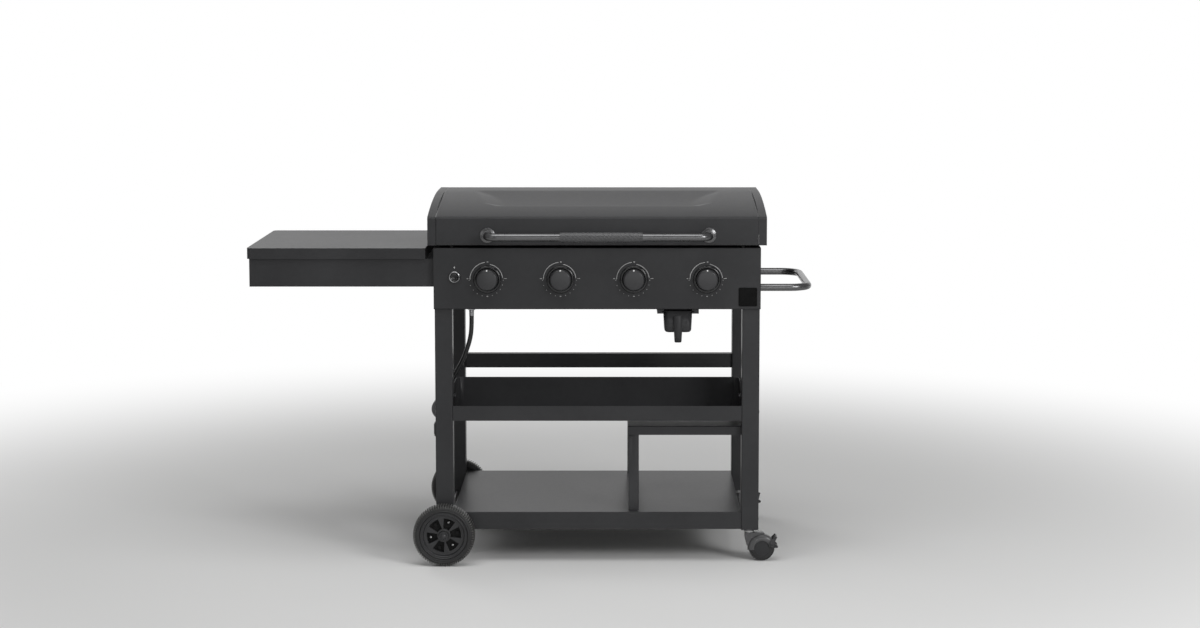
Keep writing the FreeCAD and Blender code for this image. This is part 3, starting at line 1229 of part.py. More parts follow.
for end, way in (("front", "-"), ("rear", "")):
    y = way + LEG_Y
    wheel_x = "caster_trail"
    crown_z = "(caster_leg_end - seat - 3 - seat - 12)"
    cheek_in = "(caster_w / 2 + cheek_gap)"
    cheek_out = "(caster_w / 2 + cheek_gap + cheek_t)"
    boss = rod("fork_boss_" + end, "15", "12", ("0", "0", crown_z))
    deck_size = ("caster_trail + 2 * over", "2 * " + cheek_out, "fork_deck_t")
    deck = centred("fork_deck_" + end, deck_size, ("caster_trail / 2 + over", "0", crown_z))
    fork_pieces = [boss, deck]
    for edge, lift in (("near", "-" + cheek_out), ("far", cheek_in)):
        cheek_corners = [
            ("-13", crown_z + " + 3"),
            ("-13", crown_z + " - 6"),
            ("caster_trail - 9", "caster_r - 9"),
            ("caster_trail + 9", "caster_r - 9"),
            ("caster_trail + pedal_x + 5", "pedal_z - 4"),
            ("caster_trail + pedal_x + 3", "pedal_z + 6"),
            ("caster_trail + 12", "caster_r + hood_r - 6"),
            ("caster_trail + 2", crown_z + " + 3"),
        ]
        body = doc.addObject("PartDesign::Body", "fork_cheek_" + end + edge)
        pad = body.newObject("PartDesign::Pad", "fork_cheek_pad_" + end + edge)
        pad.Profile = outline(body, "fork_cheek_outline_" + end + edge, "XZ_Plane", cheek_corners, lift)
        bind(pad, "Length", "cheek_t")
        pad.Reversed = False
        body.Tip = pad
        fork_pieces.append(body)
    pin_at = (wheel_x, "-" + cheek_out + " - 2", "caster_r")
    fork_pieces.append(rod("fork_pin_" + end, "caster_pin_r", "2 * " + cheek_out + " + 4", pin_at, ALONG_Y))
    for edge, start in (("near", "-" + cheek_out + " - pedal_t - 1"), ("far", cheek_in)):
        stud_len = "cheek_t + pedal_t + 1"
        stud_at = (wheel_x + " + pedal_x", start, "pedal_z")
        fork_pieces.append(rod("pedal_stud_" + end + edge, "pedal_pin_r", stud_len, stud_at, ALONG_Y))
    hood = rod("hood_outer_" + end, "hood_r", "2 * " + cheek_out, (wheel_x, cheek_out, "caster_r"), TO_FRONT)
    hood.Angle = 100
    hood.Placement.Rotation = TO_FRONT.multiply(FreeCAD.Rotation(FreeCAD.Vector(0, 0, 1), 38))
    hollow_at = (wheel_x, "-" + cheek_out + " - 1", "caster_r")
    hollow = rod("hood_hollow_" + end, "hood_r - 2", "2 * " + cheek_out + " + 2", hollow_at, ALONG_Y)
    fork_pieces.append(cut("hood_" + end, hood, hollow))
    bore = rod("fork_bore_" + end, "swivel_r + run_fit", "60", ("0", "0", crown_z + " - 10"))
    fork = cut("caster_fork_" + end, fuse("fork_body_" + end, *fork_pieces), bore)
    node(fork, "caster_fork_" + end, (LEG_X, y, "0"), swung(end))
    wheel_corners = [
        ("caster_pin_r + run_fit", "-caster_w / 2 - 1.5"),
        ("9", "-caster_w / 2 - 1.5"),
        ("9", "-caster_w / 2 + 3"),
        ("22", "-caster_w / 2 + 3"),
        ("24", "-caster_w / 2"),
        ("caster_r - 5", "-caster_w / 2"),
        ("caster_r", "-caster_w / 2 + 5"),
        ("caster_r", "caster_w / 2 - 5"),
        ("caster_r - 5", "caster_w / 2"),
        ("24", "caster_w / 2"),
        ("22", "caster_w / 2 - 3"),
        ("9", "caster_w / 2 - 3"),
        ("9", "caster_w / 2 + 1.5"),
        ("caster_pin_r + run_fit", "caster_w / 2 + 1.5"),
    ]
    wheel_at = (*along_fork(end, "caster_trail"), "caster_r")
    wheel_turn = swung(end).multiply(TO_FRONT)
    node(turned("caster_wheel_" + end, wheel_corners), "caster_wheel_" + end, wheel_at, wheel_turn)

# Brake pedals: two side plates outside each fork, joined by an upper and a lower tread
for end in ("front", "rear"):
    plate_in = "(" + cheek_out + " + seat)"
    plate_out = "(" + cheek_out + " + seat + pedal_t)"
    pieces = []
    for edge, lift in (("near", "-" + plate_out), ("far", plate_in)):
        plate_corners = [
            ("-6", "-6"),
            ("8", "-12"),
            ("19", "-11"),
            ("19", "-6"),
            ("9", "0"),
            ("14", "14"),
            ("17", "19"),
            ("12", "22"),
            ("0", "11"),
            ("-6", "4"),
        ]
        pieces.append(padded("pedal_side_" + end + edge, "XZ_Plane", plate_corners, "pedal_t", lift))
    upper = [("6", "12"), ("9", "9"), ("17", "19"), ("13", "22")]
    lower = [("14", "-8"), ("14", "-11"), ("19", "-11"), ("19", "-8")]
    for name, corners in (("upper", upper), ("lower", lower)):
        title = "pedal_" + name + "_" + end
        pieces.append(padded(title, "XZ_Plane", corners, "2 * " + plate_out, "-" + plate_out))
    bore_at = ("0", "-30", "0")
    bore = rod("pedal_bore_" + end, "pedal_pin_r + run_fit", "60", bore_at, ALONG_Y)
    pedal_at = (*along_fork(end, "caster_trail + pedal_x"), "pedal_z")
    pedal = cut("caster_pedal_" + end, fuse("pedal_body_" + end, *pieces), bore)
    node(pedal, "caster_pedal_" + end, pedal_at, swung(end))

# Gas hose from the manifold, with its ferrule, regulator and tank nut
ferrule = rod("ferrule_sleeve", "ferrule_r", "ferrule_high - seat", ("-hose_x", "-" + PIPE_Y, "hose_top"))
union_at = ("-hose_x", "-" + PIPE_Y, "hose_top + ferrule_high - seat")
union = rod("ferrule_union", "pipe_r + union_wall", "union_high - seat", union_at)
node(fuse("hose_ferrule", ferrule, union), "hose_ferrule")

port = math.radians(value("port_tilt"))
port_way = FreeCAD.Vector(math.sin(port), 0, math.cos(port))
regulator_y = -value("cart_d") / 2 + value("leg_w") + value("seat") + value("regulator_t") / 2
regulator_middle = FreeCAD.Vector(-value("regulator_x"), regulator_y, value("regulator_z"))
hose_end = regulator_middle + port_way * (value("regulator_r") + value("port_long"))
hose_start = FreeCAD.Vector(-value("hose_x"), -value(PIPE_Y), value("hose_top"))
HOSE_STEPS = [
    (0.0, 0.0, 0.0),
    (0.0, 0.0, -34.0),
    (-5.0, 9.0, -68.0),
    (-15.0, 16.0, -100.0),
    (-27.0, 24.0, -132.0),
    (-42.0, 31.0, -159.0),
    (-54.5, 35.5, -181.5),
]
route = [hose_start + FreeCAD.Vector(*step) for step in HOSE_STEPS]
route.append(hose_end + port_way * value("port_run"))
route.append(hose_end)
radii = []
for i in range(1, len(route) - 1):
    back = (route[i - 1] - route[i]).normalize()
    ahead = (route[i + 1] - route[i]).normalize()
    turn_angle = math.pi - back.getAngle(ahead)
    shorter = min((route[i - 1] - route[i]).Length, (route[i + 1] - route[i]).Length)
    radii.append(0.45 * shorter / math.tan(turn_angle / 2))
hose_shape = tube_along(route, radii, value("hose_r"))
hose_length = bent_path(route, radii).Length
node(made("gas_hose", hose_shape), "gas_hose")
print("hose length", round(hose_length, 1), "radii", [round(radius, 1) for radius in radii])
print("hose volume", round(hose_shape.Volume), "of", round(math.pi * value("hose_r") ** 2 * hose_length))

disc_r = value("regulator_r")
disc_t = value("regulator_t")
disc_low = regulator_middle - FreeCAD.Vector(0, disc_t / 2, 0)
disc = Part.makeCylinder(disc_r, disc_t, disc_low, FreeCAD.Vector(0, 1, 0))
disc = disc.makeFillet(5.0, [edge for edge in disc.Edges if abs(edge.Length - 2 * math.pi * disc_r) < 1e-3])
port_r = value("hose_r") + 2.0
upper_port = Part.makeCylinder(port_r, disc_r + value("port_long"), regulator_middle, port_way)
neck_r = value("hose_nut_r") - 6
neck_foot = regulator_middle - FreeCAD.Vector(value("nut_shift"), 0, 0)
lower_neck = Part.makeCylinder(neck_r, disc_r + value("neck_drop"), neck_foot, FreeCAD.Vector(0, 0, -1))
node(made("regulator_body", disc.fuse([upper_port, lower_neck]).removeSplitter()), "regulator_body")
nut_top = "regulator_z - regulator_r - neck_drop - seat"
nut_y = "-cart_d / 2 + leg_w + seat + regulator_t / 2"
nut_at = ("-regulator_x - nut_shift", nut_y, nut_top + " - nut_long")
nut_bore = rod("tank_nut_bore", "nut_bore_r", "nut_bore_deep + 5", ("0", "0", "-5"))
node(cut("tank_nut", rod("tank_nut_body", "hose_nut_r", "nut_long"), nut_bore), "tank_nut", nut_at)

doc.recompute()

faults = []
for piece in doc.Objects:
    if "Invalid" in piece.State or "Error" in piece.State:
        faults.append(piece.Name + " " + str(piece.State))
for piece in NODES:
    if piece.Shape.isNull() or not piece.Shape.isValid() or piece.Shape.Volume <= 0:
        faults.append(piece.Label + " has no sound shape")
if faults:
    raise SystemExit("\n".join(faults))

whole = FreeCAD.BoundBox()
for piece in NODES:
    whole.add(piece.Shape.BoundBox)
    piece.Shape.exportStep("parts/" + piece.Label + ".step")
limits = (whole.XMin, whole.XMax, whole.YMin, whole.YMax, whole.ZMin, whole.ZMax)
print(len(NODES), "nodes, box", [round(number, 2) for number in limits])
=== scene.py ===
import json
import math

import bmesh
import bpy
from mathutils import Matrix, Vector


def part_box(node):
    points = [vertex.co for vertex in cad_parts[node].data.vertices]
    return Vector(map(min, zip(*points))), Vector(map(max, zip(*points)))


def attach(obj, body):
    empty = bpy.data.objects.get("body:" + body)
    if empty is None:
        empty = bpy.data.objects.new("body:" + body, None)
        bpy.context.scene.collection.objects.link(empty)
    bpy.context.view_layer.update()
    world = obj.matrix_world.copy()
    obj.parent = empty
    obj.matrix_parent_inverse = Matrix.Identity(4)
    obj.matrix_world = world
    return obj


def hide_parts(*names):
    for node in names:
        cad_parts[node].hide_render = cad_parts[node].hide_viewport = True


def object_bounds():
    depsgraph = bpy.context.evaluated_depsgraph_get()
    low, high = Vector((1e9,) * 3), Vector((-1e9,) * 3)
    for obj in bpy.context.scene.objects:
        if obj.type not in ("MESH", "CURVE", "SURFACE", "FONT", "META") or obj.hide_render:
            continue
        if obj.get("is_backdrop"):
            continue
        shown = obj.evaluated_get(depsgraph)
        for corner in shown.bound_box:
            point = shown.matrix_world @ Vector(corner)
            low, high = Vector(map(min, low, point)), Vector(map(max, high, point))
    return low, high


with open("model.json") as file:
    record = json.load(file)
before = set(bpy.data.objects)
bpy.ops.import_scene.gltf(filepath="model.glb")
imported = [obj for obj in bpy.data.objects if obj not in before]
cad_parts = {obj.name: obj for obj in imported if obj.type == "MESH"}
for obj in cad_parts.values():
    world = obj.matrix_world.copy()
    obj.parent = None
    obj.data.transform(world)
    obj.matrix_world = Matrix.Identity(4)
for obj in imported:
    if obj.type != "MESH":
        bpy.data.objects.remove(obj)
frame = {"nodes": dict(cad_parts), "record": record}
cad_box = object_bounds()
nodes = frame["nodes"]
body_of = {name: body for body, names in frame["record"]["behaviour"]["bodies"].items() for name in names}

# The middle of the cart is set from its legs, because the frame's origin lies under the middle
# of the whole object, side shelf and push handle included. Sizes here are metres.
leg_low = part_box("leg_front_left")[0]
far_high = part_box("leg_rear_right")[1]
cart_x = (leg_low.x + far_high.x) / 2
cart_y = (leg_low.y + far_high.y) / 2
half_width = (far_high.x - leg_low.x) / 2


def at(x, y, z):
    """A place measured from the middle of the cart at the floor."""
    return Vector((cart_x + x, cart_y + y, z))


def in_scene(name, data):
    """An object that holds this data, put in the scene."""
    thing = bpy.data.objects.new(name, data)
    bpy.context.scene.collection.objects.link(thing)
    return thing


def mm(*pairs):
    """Points of an outline given in millimetres."""
    return [(a / 1000, b / 1000) for a, b in pairs]


# The view is the photograph's: a long lens a little right of the middle, above the lid and
# tipped down, with the frame shifted as the photograph was cropped.
camera_data = bpy.data.cameras.new("view")
camera_data.lens = 66.16
camera_data.sensor_width = 36.0
camera_data.shift_x = -0.01167
camera_data.shift_y = -0.0716
camera = in_scene("view", camera_data)
camera.location = at(0.048, -6.5413, 1.5838)
camera.rotation_euler = (math.radians(90 - 5.604), 0, 0)
bpy.context.scene.camera = camera


class Finish:
    """One material, or the world round the cart, built node by node."""

    def __init__(self, name, kind="materials", shader="Principled BSDF"):
        self.material = getattr(bpy.data, kind).new(name)
        self.material.use_nodes = True
        self.tree = self.material.node_tree
        self.shader = self.tree.nodes[shader]

    def add(self, kind, settings=None, inputs=None, output=0):
        """A node of this type. Its settings are made first, then its sockets are set or joined."""
        node = self.tree.nodes.new(kind)
        for name, setting in (settings or {}).items():
            setattr(node, name, setting)
        for name, value in (inputs or {}).items():
            self.join(node.inputs[name], value)
        return node.outputs[output]

    def join(self, socket, value):
        if isinstance(value, bpy.types.NodeSocket):
            self.tree.links.new(value, socket)
        elif isinstance(value, tuple) and socket.type == "RGBA" and len(value) == 3:
            socket.default_value = (*value, 1.0)
        else:
            socket.default_value = value

    def set(self, **sockets):
        """Set the shader's own sockets: Base_Color is its Base Color."""
        for name, value in sockets.items():
            self.join(self.shader.inputs[name.replace("_", " ")], value)

    def place(self):
        return self.add("ShaderNodeTexCoord", output="Object")

    def noise(self, scale, detail=4.0, roughness=0.5, stretch=(1, 1, 1)):
        """Noise from 0 to 1 with about this many lumps to the metre."""
        spot = self.add("ShaderNodeMapping", inputs={"Vector": self.place(), "Scale": stretch})
        settings = {"Vector": spot, "Scale": scale, "Detail": detail, "Roughness": roughness}
        return self.add("ShaderNodeTexNoise", inputs=settings)

    def maths(self, operation, left, right):
        return self.add("ShaderNodeMath", {"operation": operation}, {0: left, 1: right})

    def blend(self, one, share, other):
        """This share of one number and the rest of another."""
        rest = self.maths("MULTIPLY", other, 1 - share)
        return self.maths("ADD", self.maths("MULTIPLY", one, share), rest)

    def shades(self, amount, *stops):
        """A colour read from a ramp of two (place, colour) stops."""
        colour = self.add("ShaderNodeValToRGB", inputs={"Fac": amount})
        for element, (place, shade) in zip(colour.node.color_ramp.elements, stops):
            element.position = place
            element.color = (*shade, 1.0)
        return colour

    def between(self, amount, low, high):
        """A number that goes from low to high as the amount goes from 0 to 1."""
        return self.add("ShaderNodeMapRange", inputs={"Value": amount, "To Min": low, "To Max": high})

    def bump(self, height, depth):
        """A relief of this depth in metres from a height of 0 to 1."""
        self.set(Normal=self.add("ShaderNodeBump", inputs={"Height": height, "Distance": depth}))


def face_outward(bm):
    bmesh.ops.recalc_face_normals(bm, faces=bm.faces)


def only(kind, items):
    """The items of one kind, such as the corners, out of what an operator gives back."""
    return [item for item in items if isinstance(item, kind)]


def draw_out(bm, edges, way):
    """Extend edges by this step into faces. Gives the far corners and the far edges."""
    grown = bmesh.ops.extrude_edge_only(bm, edges=edges)["geom"]
    corners = only(bmesh.types.BMVert, grown)
    bmesh.ops.translate(bm, vec=way, verts=corners)
    return corners, only(bmesh.types.BMEdge, grown)


# Floor and light. A pale matt floor that turns up into a white wall far behind, and five soft
# lamps: one over the front, two in front, one low fill, and one behind on the left.
floor_finish = Finish("pale_floor")
floor_finish.set(Base_Color=(0.74, 0.74, 0.735), Roughness=0.9, Specular_IOR_Level=0.2)
spot = floor_finish.place()
distance = floor_finish.add("ShaderNodeVectorMath", {"operation": "LENGTH"}, {0: spot}, output=1)
fade_settings = {"Value": distance, "From Min": 1.3, "From Max": 3.6}
fade = floor_finish.add("ShaderNodeMapRange", {"interpolation_type": "SMOOTHSTEP"}, fade_settings)
direct = floor_finish.add("ShaderNodeLightPath", output="Is Camera Ray")
reflected = direct.node.outputs["Is Glossy Ray"]
depth = floor_finish.add("ShaderNodeSeparateXYZ", inputs={0: spot}, output="Y")
behind = floor_finish.add("ShaderNodeMapRange", inputs={"Value": depth, "From Min": 0.6, "From Max": 2.4})
seen = floor_finish.maths("MAXIMUM", direct, floor_finish.maths("MULTIPLY", reflected, behind))
white = floor_finish.add("ShaderNodeEmission", inputs={"Color": (1.0, 1.0, 1.0), "Strength": 1.0})
matt = floor_finish.shader.outputs[0]
share = floor_finish.maths("MULTIPLY", fade, seen)
mixed = floor_finish.add("ShaderNodeMixShader", inputs={"Fac": share, 1: matt, 2: white})
floor_finish.join(floor_finish.tree.nodes["Material Output"].inputs["Surface"], mixed)
FLOOR_HALF = 14
WALL_TALL = 9
bm = bmesh.new()
bmesh.ops.create_grid(bm, x_segments=1, y_segments=1, size=FLOOR_HALF)
rear_edge = [edge for edge in bm.edges if min(vert.co.y for vert in edge.verts) > FLOOR_HALF - 1]
draw_out(bm, rear_edge, (0, 0, WALL_TALL))
floor_mesh = bpy.data.meshes.new("floor")
bm.to_mesh(floor_mesh)
bm.free()
floor_mesh.materials.append(floor_finish.material)
floor = in_scene("floor", floor_mesh)
floor.location.z = -0.0004
floor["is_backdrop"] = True

sky = Finish("surround", "worlds", "Background")
direct = sky.add("ShaderNodeLightPath", output="Is Camera Ray")
straight = sky.maths("MAXIMUM", direct, direct.node.outputs["Is Transmission Ray"])
sky.set(Color=(1.0, 1.0, 1.0), Strength=sky.between(straight, 0.3, 1.0))
bpy.context.scene.world = sky.material
bpy.context.scene.view_settings.view_transform = "Standard"


def lamp(name, place, aim, size, power):
    """A soft rectangular lamp, aimed at a height over the middle of the cart."""
    data = bpy.data.lights.new(name, "AREA")
    data.shape = "RECTANGLE"
    data.size, data.size_y = size
    data.energy = power
    thing = in_scene(name, data)
    thing.location = at(*place)
    thing.rotation_euler = (at(0, 0, aim) - thing.location).to_track_quat("-Z", "Y").to_euler()


lamp("lamp_top", (-0.2, -1.0, 3.3), 0.6, (3.0, 2.0), 46)
lamp("lamp_front_right", (2.8, -3.2, 2.4), 0.6, (1.4, 1.4), 72)
lamp("lamp_front_left", (-3.0, -3.0, 1.7), 0.6, (1.4, 1.8), 6)
lamp("lamp_fill", (0.6, -4.6, 0.9), 0.5, (3.0, 1.2), 18)
lamp("lamp_back", (-3.0, 3.4, 2.4), 0.7, (2.0, 1.6), 36)


def powder_coat(name, colour, rough, grain_depth=0.00006, shine=0.18):
    """Baked-on powder paint: a fine pebbled skin with faint cloudy changes of tone and gloss."""
    finish = Finish(name)
    cloud = finish.noise(5, detail=3)
    pebble = finish.noise(1400, detail=2)
    mottle = finish.noise(60, detail=6, roughness=0.65)
    low = tuple(0.88 * c for c in colour)
    high = tuple(1.14 * c for c in colour)
    finish.set(Base_Color=finish.shades(finish.blend(cloud, 0.7, mottle), (0.35, low), (0.68, high)))
    finish.set(Roughness=finish.between(finish.blend(mottle, 0.6, cloud), rough - 0.05, rough + 0.07))
    finish.set(Specular_IOR_Level=shine)
    finish.bump(pebble, grain_depth)
    return finish


def two_tone(name, lumps, dark, light, rough, detail=4, places=(0.3, 0.7), relief=0, **sockets):
    """A finish that wanders between two shades and two roughnesses by one noise."""
    finish = Finish(name)
    wander = finish.noise(lumps, detail)
    finish.set(Base_Color=finish.shades(wander, (places[0], dark), (places[1], light)))
    finish.set(Roughness=finish.between(wander, *rough), **sockets)
    if relief:
        finish.bump(wander, relief)
    return finish


def sharp_edges(bm, least):
    """Outer edges that turn by more than this many degrees."""
    limit = math.radians(least)
    return [edge for edge in bm.edges if len(edge.link_faces) == 2 and edge.calc_face_angle_signed() > limit]


def ease(bm, geom, width, segments=2, affect="EDGES"):
    """Round the given edges over, or the given corners where it says VERTICES."""
    bmesh.ops.bevel(
        bm, geom=geom, offset=width, offset_type="OFFSET", affect=affect, segments=segments,
        profile=0.5, clamp_overlap=True, material=-1,
    )


def close_piece(name, bm, like, finish, stands_for=(), smooth=35, even=True):
    """Turn a finished shape into a named piece on the body of a node."""
    mesh = bpy.data.meshes.new(name)
    bm.to_mesh(mesh)
    bm.free()
    mesh.polygons.foreach_set("use_smooth", [True] * len(mesh.polygons))
    mesh.set_sharp_from_angle(angle=math.radians(smooth))
    mesh.materials.append(finish.material)
    piece = in_scene(name, mesh)
    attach(piece, body_of[like])
    if stands_for:
        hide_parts(*stands_for)
    if even:
        piece.modifiers.new("even_shading", "WEIGHTED_NORMAL").keep_sharp = True
    return piece


def broad(face):
    """Whether a face is wider than the edge of a sheet."""
    around = sum(edge.calc_length() for edge in face.edges)
    return 2 * face.calc_area() / around > 0.003


def eased_copy(node, finish, fold=0.0022, rim=0.0004):
    """A node's own shape with its folds rolled and its cut edges broken, as shop-made sheet has."""
    bm = bmesh.new()
    bm.from_mesh(nodes[node].data)
    bmesh.ops.remove_doubles(bm, verts=bm.verts, dist=0.00001)
    bmesh.ops.dissolve_limit(bm, angle_limit=math.radians(0.4), verts=bm.verts, edges=bm.edges)
    if fold:
        folds = [edge for edge in sharp_edges(bm, 50) if all(broad(face) for face in edge.link_faces)]
        ease(bm, [edge for edge in folds if edge.calc_length() > 0.008], fold, 3)
    if rim:
        ease(bm, sharp_edges(bm, 50), rim, 2)
    return close_piece(node + "_sheet", bm, node, finish, (node,), smooth=40)


def repaint(node, finish):
    """Give a node that is shown as it is this finish."""
    mesh = nodes[node].data
    mesh.materials.clear()
    mesh.materials.append(finish.material)


# Cart frame. Four legs and two posts of square steel tube, a rear rail, and the bottom shelf, tray
# and rack folded from sheet, all baked in charcoal powder paint and bolted together.
frame_paint = powder_coat("frame_paint", (0.034, 0.0342, 0.0358), 0.36)
for node in ("leg_front_left", "leg_front_right", "leg_rear_left", "leg_rear_right", "rear_rail"):
    eased_copy(node, frame_paint, fold=0.0018)
for node in ("bottom_shelf", "condiment_tray", "rack"):
    eased_copy(node, frame_paint)

plastic = two_tone(
    "black_plastic", 1800, (0.012, 0.012, 0.013), (0.020, 0.020, 0.022), (0.36, 0.48), detail=2,
    places=(0.3, 0.75), relief=0.00004,
)
eased_copy("leg_plugs", plastic, fold=0.0012)


def standing(middle, along):
    """The move that sets a shape made round the Z axis on an axis through this place."""
    turn = Vector((0, 0, 1)).rotation_difference(Vector(along)).to_matrix().to_4x4()
    return Matrix.Translation(middle) @ turn


def chain(bm, points, closed=False):
    """Corners along these points, and the edges that join them."""
    spots = [bm.verts.new(point) for point in points]
    after = spots[1:] + (spots[:1] if closed else [])
    return spots, [bm.edges.new(pair) for pair in zip(spots, after)]


def sweep(bm, points, angle, steps, axis=(0, 0, 1), closed=False, merge=False):
    """The skin that a line of points leaves when it is spun about an axis through the origin."""
    spots, wires = chain(bm, points, closed)
    bmesh.ops.spin(
        bm, geom=spots + wires, cent=(0, 0, 0), axis=axis, angle=angle, steps=steps, use_merge=merge,
    )


def lathe(outline, middle=(0, 0, 0), along=(0, 0, 1), steps=64, closed=False):
    """A turned shape: (radius, height) points spun about an axis through its middle."""
    bm = bmesh.new()
    points = [(radius, 0, height) for radius, height in outline]
    sweep(bm, points, math.tau, steps, closed=closed, merge=True)
    bmesh.ops.remove_doubles(bm, verts=bm.verts, dist=0.000001)
    face_outward(bm)
    bm.transform(standing(middle, along))
    return bm


def disc(radius, thick, place, along, steps):
    """A plain round disc that stands up from a place."""
    return lathe([(0, 0), (radius, 0), (radius, thick), (0, thick)], place, along, steps)


def mirrored(outline):
    """An outline carried on by its own mirror image on the far side."""
    return outline + [(radius, -height) for radius, height in reversed(outline)]


def gather(parts):
    """Several shapes as one."""
    whole = bmesh.new()
    for part in parts:
        carrier = bpy.data.meshes.new("carrier")
        part.to_mesh(carrier)
        part.free()
        whole.from_mesh(carrier)
        bpy.data.meshes.remove(carrier)
    return whole


def bolt(place, along, size=0.003):
    """A flanged hexagon bolt head of this thread radius."""
    flange = [(0, 0), (2.2, 0), (2.2, 0.25), (1.7, 0.5), (0, 0.5)]
    hexagon = [(0, 0.4), (1.75, 0.4), (1.75, 1.5), (1.5, 1.75), (0, 1.75)]
    parts = []
    for outline, steps in ((flange, 24), (hexagon, 6)):
        scaled = [(size * radius, size * height) for radius, height in outline]
        parts.append(lathe(scaled, place, along, steps))
    return gather(parts)


def screw(place, along, radius=0.0042):
    """A pan head with a socket in its middle."""
    outline = [
        (0, 0.0006), (0.45 * radius, 0.0006), (0.5 * radius, 0.0021), (0.72 * radius, 0.0020),
        (0.93 * radius, 0.0014), (radius, 0.0005), (radius, -0.0002), (0, -0.0002),
    ]
    return lathe(outline, place, along, steps=24)


# Frame bolts. Low round-headed bolts hold the shelf, the tray and the rail to the legs from outside,
# and flanged hexagon bolts stand inside the tray.
bolt_steel = two_tone(
    "bolt_steel", 700, (0.035, 0.035, 0.037), (0.075, 0.075, 0.078), (0.28, 0.42), places=(0.3, 0.75),
    Metallic=0.7,
)
LEG_BOLT_Y = 0.57 * half_width
TRAY_BOLT_X = 0.4134
TRAY_BOLT_Y = -0.262
heads = []
for side in (-1, 1):
    for y, heights in ((-LEG_BOLT_Y, (0.122, 0.436)), (LEG_BOLT_Y, (0.122, 0.503))):
        for z in heights:
            heads.append(screw(at(side * half_width, y, z), (side, 0, 0), 0.0050))
    for z in (0.484, 0.440):
        heads.append(bolt(at(side * TRAY_BOLT_X, TRAY_BOLT_Y, z), (-side, 0, 0), 0.0035))
close_piece("frame_bolts", gather(heads), "leg_front_left", bolt_steel)


# Tyres. Solid moulded rubber with a bead at the rim and a raised ring on each sidewall. Two rows of
# straight lugs wrap over the shoulders, coloured a paler grey than the rest.
rubber = Finish("tyre_rubber")
grain = rubber.noise(700, detail=5)
scrub = rubber.noise(35, detail=4, roughness=0.6)
rubber_tone = rubber.blend(grain, 0.5, scrub)
rubber.set(Base_Color=rubber.shades(rubber_tone, (0.3, (0.010, 0.010, 0.010)), (0.75, (0.024, 0.024, 0.025))))
rubber.set(Roughness=rubber.between(scrub, 0.42, 0.66))
rubber.bump(grain, 0.00015)
# The lugs' rubber is a paler grey than the carcass, evenly over each lug.
pale_lug_rubber = Finish("pale_lug_rubber")
scrub = pale_lug_rubber.noise(160, detail=5, roughness=0.6)
rubber_tone = pale_lug_rubber.shades(scrub, (0.3, (0.034, 0.034, 0.033)), (0.7, (0.105, 0.104, 0.100)))
pale_lug_rubber.set(Base_Color=rubber_tone, Roughness=pale_lug_rubber.between(scrub, 0.34, 0.55))
TYRE_SIDE = mm(
    (69, 18), (70.2, 19.6), (72.2, 20), (73.4, 19.1), (75.6, 19.1), (76.5, 19.8), (78.6, 19.6),
    (80.4, 18.8), (82.2, 16.4), (83.8, 13), (85, 10.5), (85.4, 4),
)
LUG_SIDE = mm(
    (84, 0.8), (88.9, 0.8), (88.9, 11.8), (88.4, 14.8), (86.6, 18.2), (83.6, 19.9), (80.6, 19.6),
    (80.6, 17),
)
LUG_WIDE = 0.0030
LUGS = 76
ROW_STAGGER = 0.08


def upright(middle, turn=0.0):
    """The move that stands a wheel, made flat round the Z axis, on its tread and turns it."""
    return Matrix.Translation(middle) @ Matrix.Rotation(turn, 4, "Z") @ Matrix.Rotation(math.pi / 2, 4, "X")


def tyre_lug(row, number):
    """One block of the tread, which wraps over the shoulder onto the sidewall."""
    lug = bmesh.new()
    for way in (-1, 1):
        side = way * LUG_WIDE / 2
        lug.faces.new([lug.verts.new((radius, side, row * height)) for radius, height in LUG_SIDE])
    bmesh.ops.bridge_loops(lug, edges=lug.edges[:])
    face_outward(lug)
    lug.transform(Matrix.Rotation(math.tau * (number + (row > 0) * ROW_STAGGER) / LUGS, 4, "Z"))
    return lug


WHEELS = {"front": 0.0, "rear": math.pi}


def wheel_stand(end):
    """The move that puts a wheel on the front or the rear end of the axle, its dished side out."""
    low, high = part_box("wheel_hub_" + end)
    return upright((low + high) / 2, WHEELS[end])


for end in WHEELS:
    stand = wheel_stand(end)
    tyre = lathe(mirrored(TYRE_SIDE), steps=112, closed=True)
    tyre.transform(stand)
    close_piece("tyre_carcass_" + end, tyre, "tyre_" + end, rubber, ("tyre_" + end,), smooth=32)
    lugs = gather([tyre_lug(row, number) for row in (-1, 1) for number in range(LUGS)])
    lugs.transform(stand)
    close_piece("tyre_lugs_" + end, lugs, "tyre_" + end, pale_lug_rubber, smooth=32)


# Wheel hubs. Dished plastic mouldings with six pockets between broad spokes, a post in each pocket
# and a tall boss round the axle. The pocket floors, the posts and the well round the axle are near-black,
# painted shade.
hub_plastic = Finish("hub_plastic")
grain = hub_plastic.noise(1500, detail=2)
flow = hub_plastic.noise(12, detail=3)
shade = hub_plastic.shades(flow, (0.3, (0.017, 0.017, 0.018)), (0.7, (0.027, 0.027, 0.029)))
hub_plastic.set(Base_Color=shade, Roughness=hub_plastic.between(grain, 0.28, 0.40))
hub_plastic.bump(grain, 0.00003)
# Near-black matt plastic that is painted shade, laid on the pocket floors, the posts and the axle well.
painted_shade_plastic = Finish("painted_shade_plastic")
mottle = painted_shade_plastic.noise(90, detail=4)
shade = painted_shade_plastic.shades(mottle, (0.3, (0.004, 0.004, 0.004)), (0.7, (0.009, 0.009, 0.009)))
painted_shade_plastic.set(Base_Color=shade, Roughness=0.7, Specular_IOR_Level=0.25)
POCKET_IN = 0.0195
POCKET_OUT = 0.0490
HUB_FRONT = mm(
    (6.06, 12.2), (11, 12.2), (11.4, 19.4), (12, 20), (13.3, 19.8), (13.9, 18.8), (14.4, 11), (15.4, 9.9),
)
HUB_FRONT += [(POCKET_IN, 0.0097), (POCKET_OUT, 0.0087)]
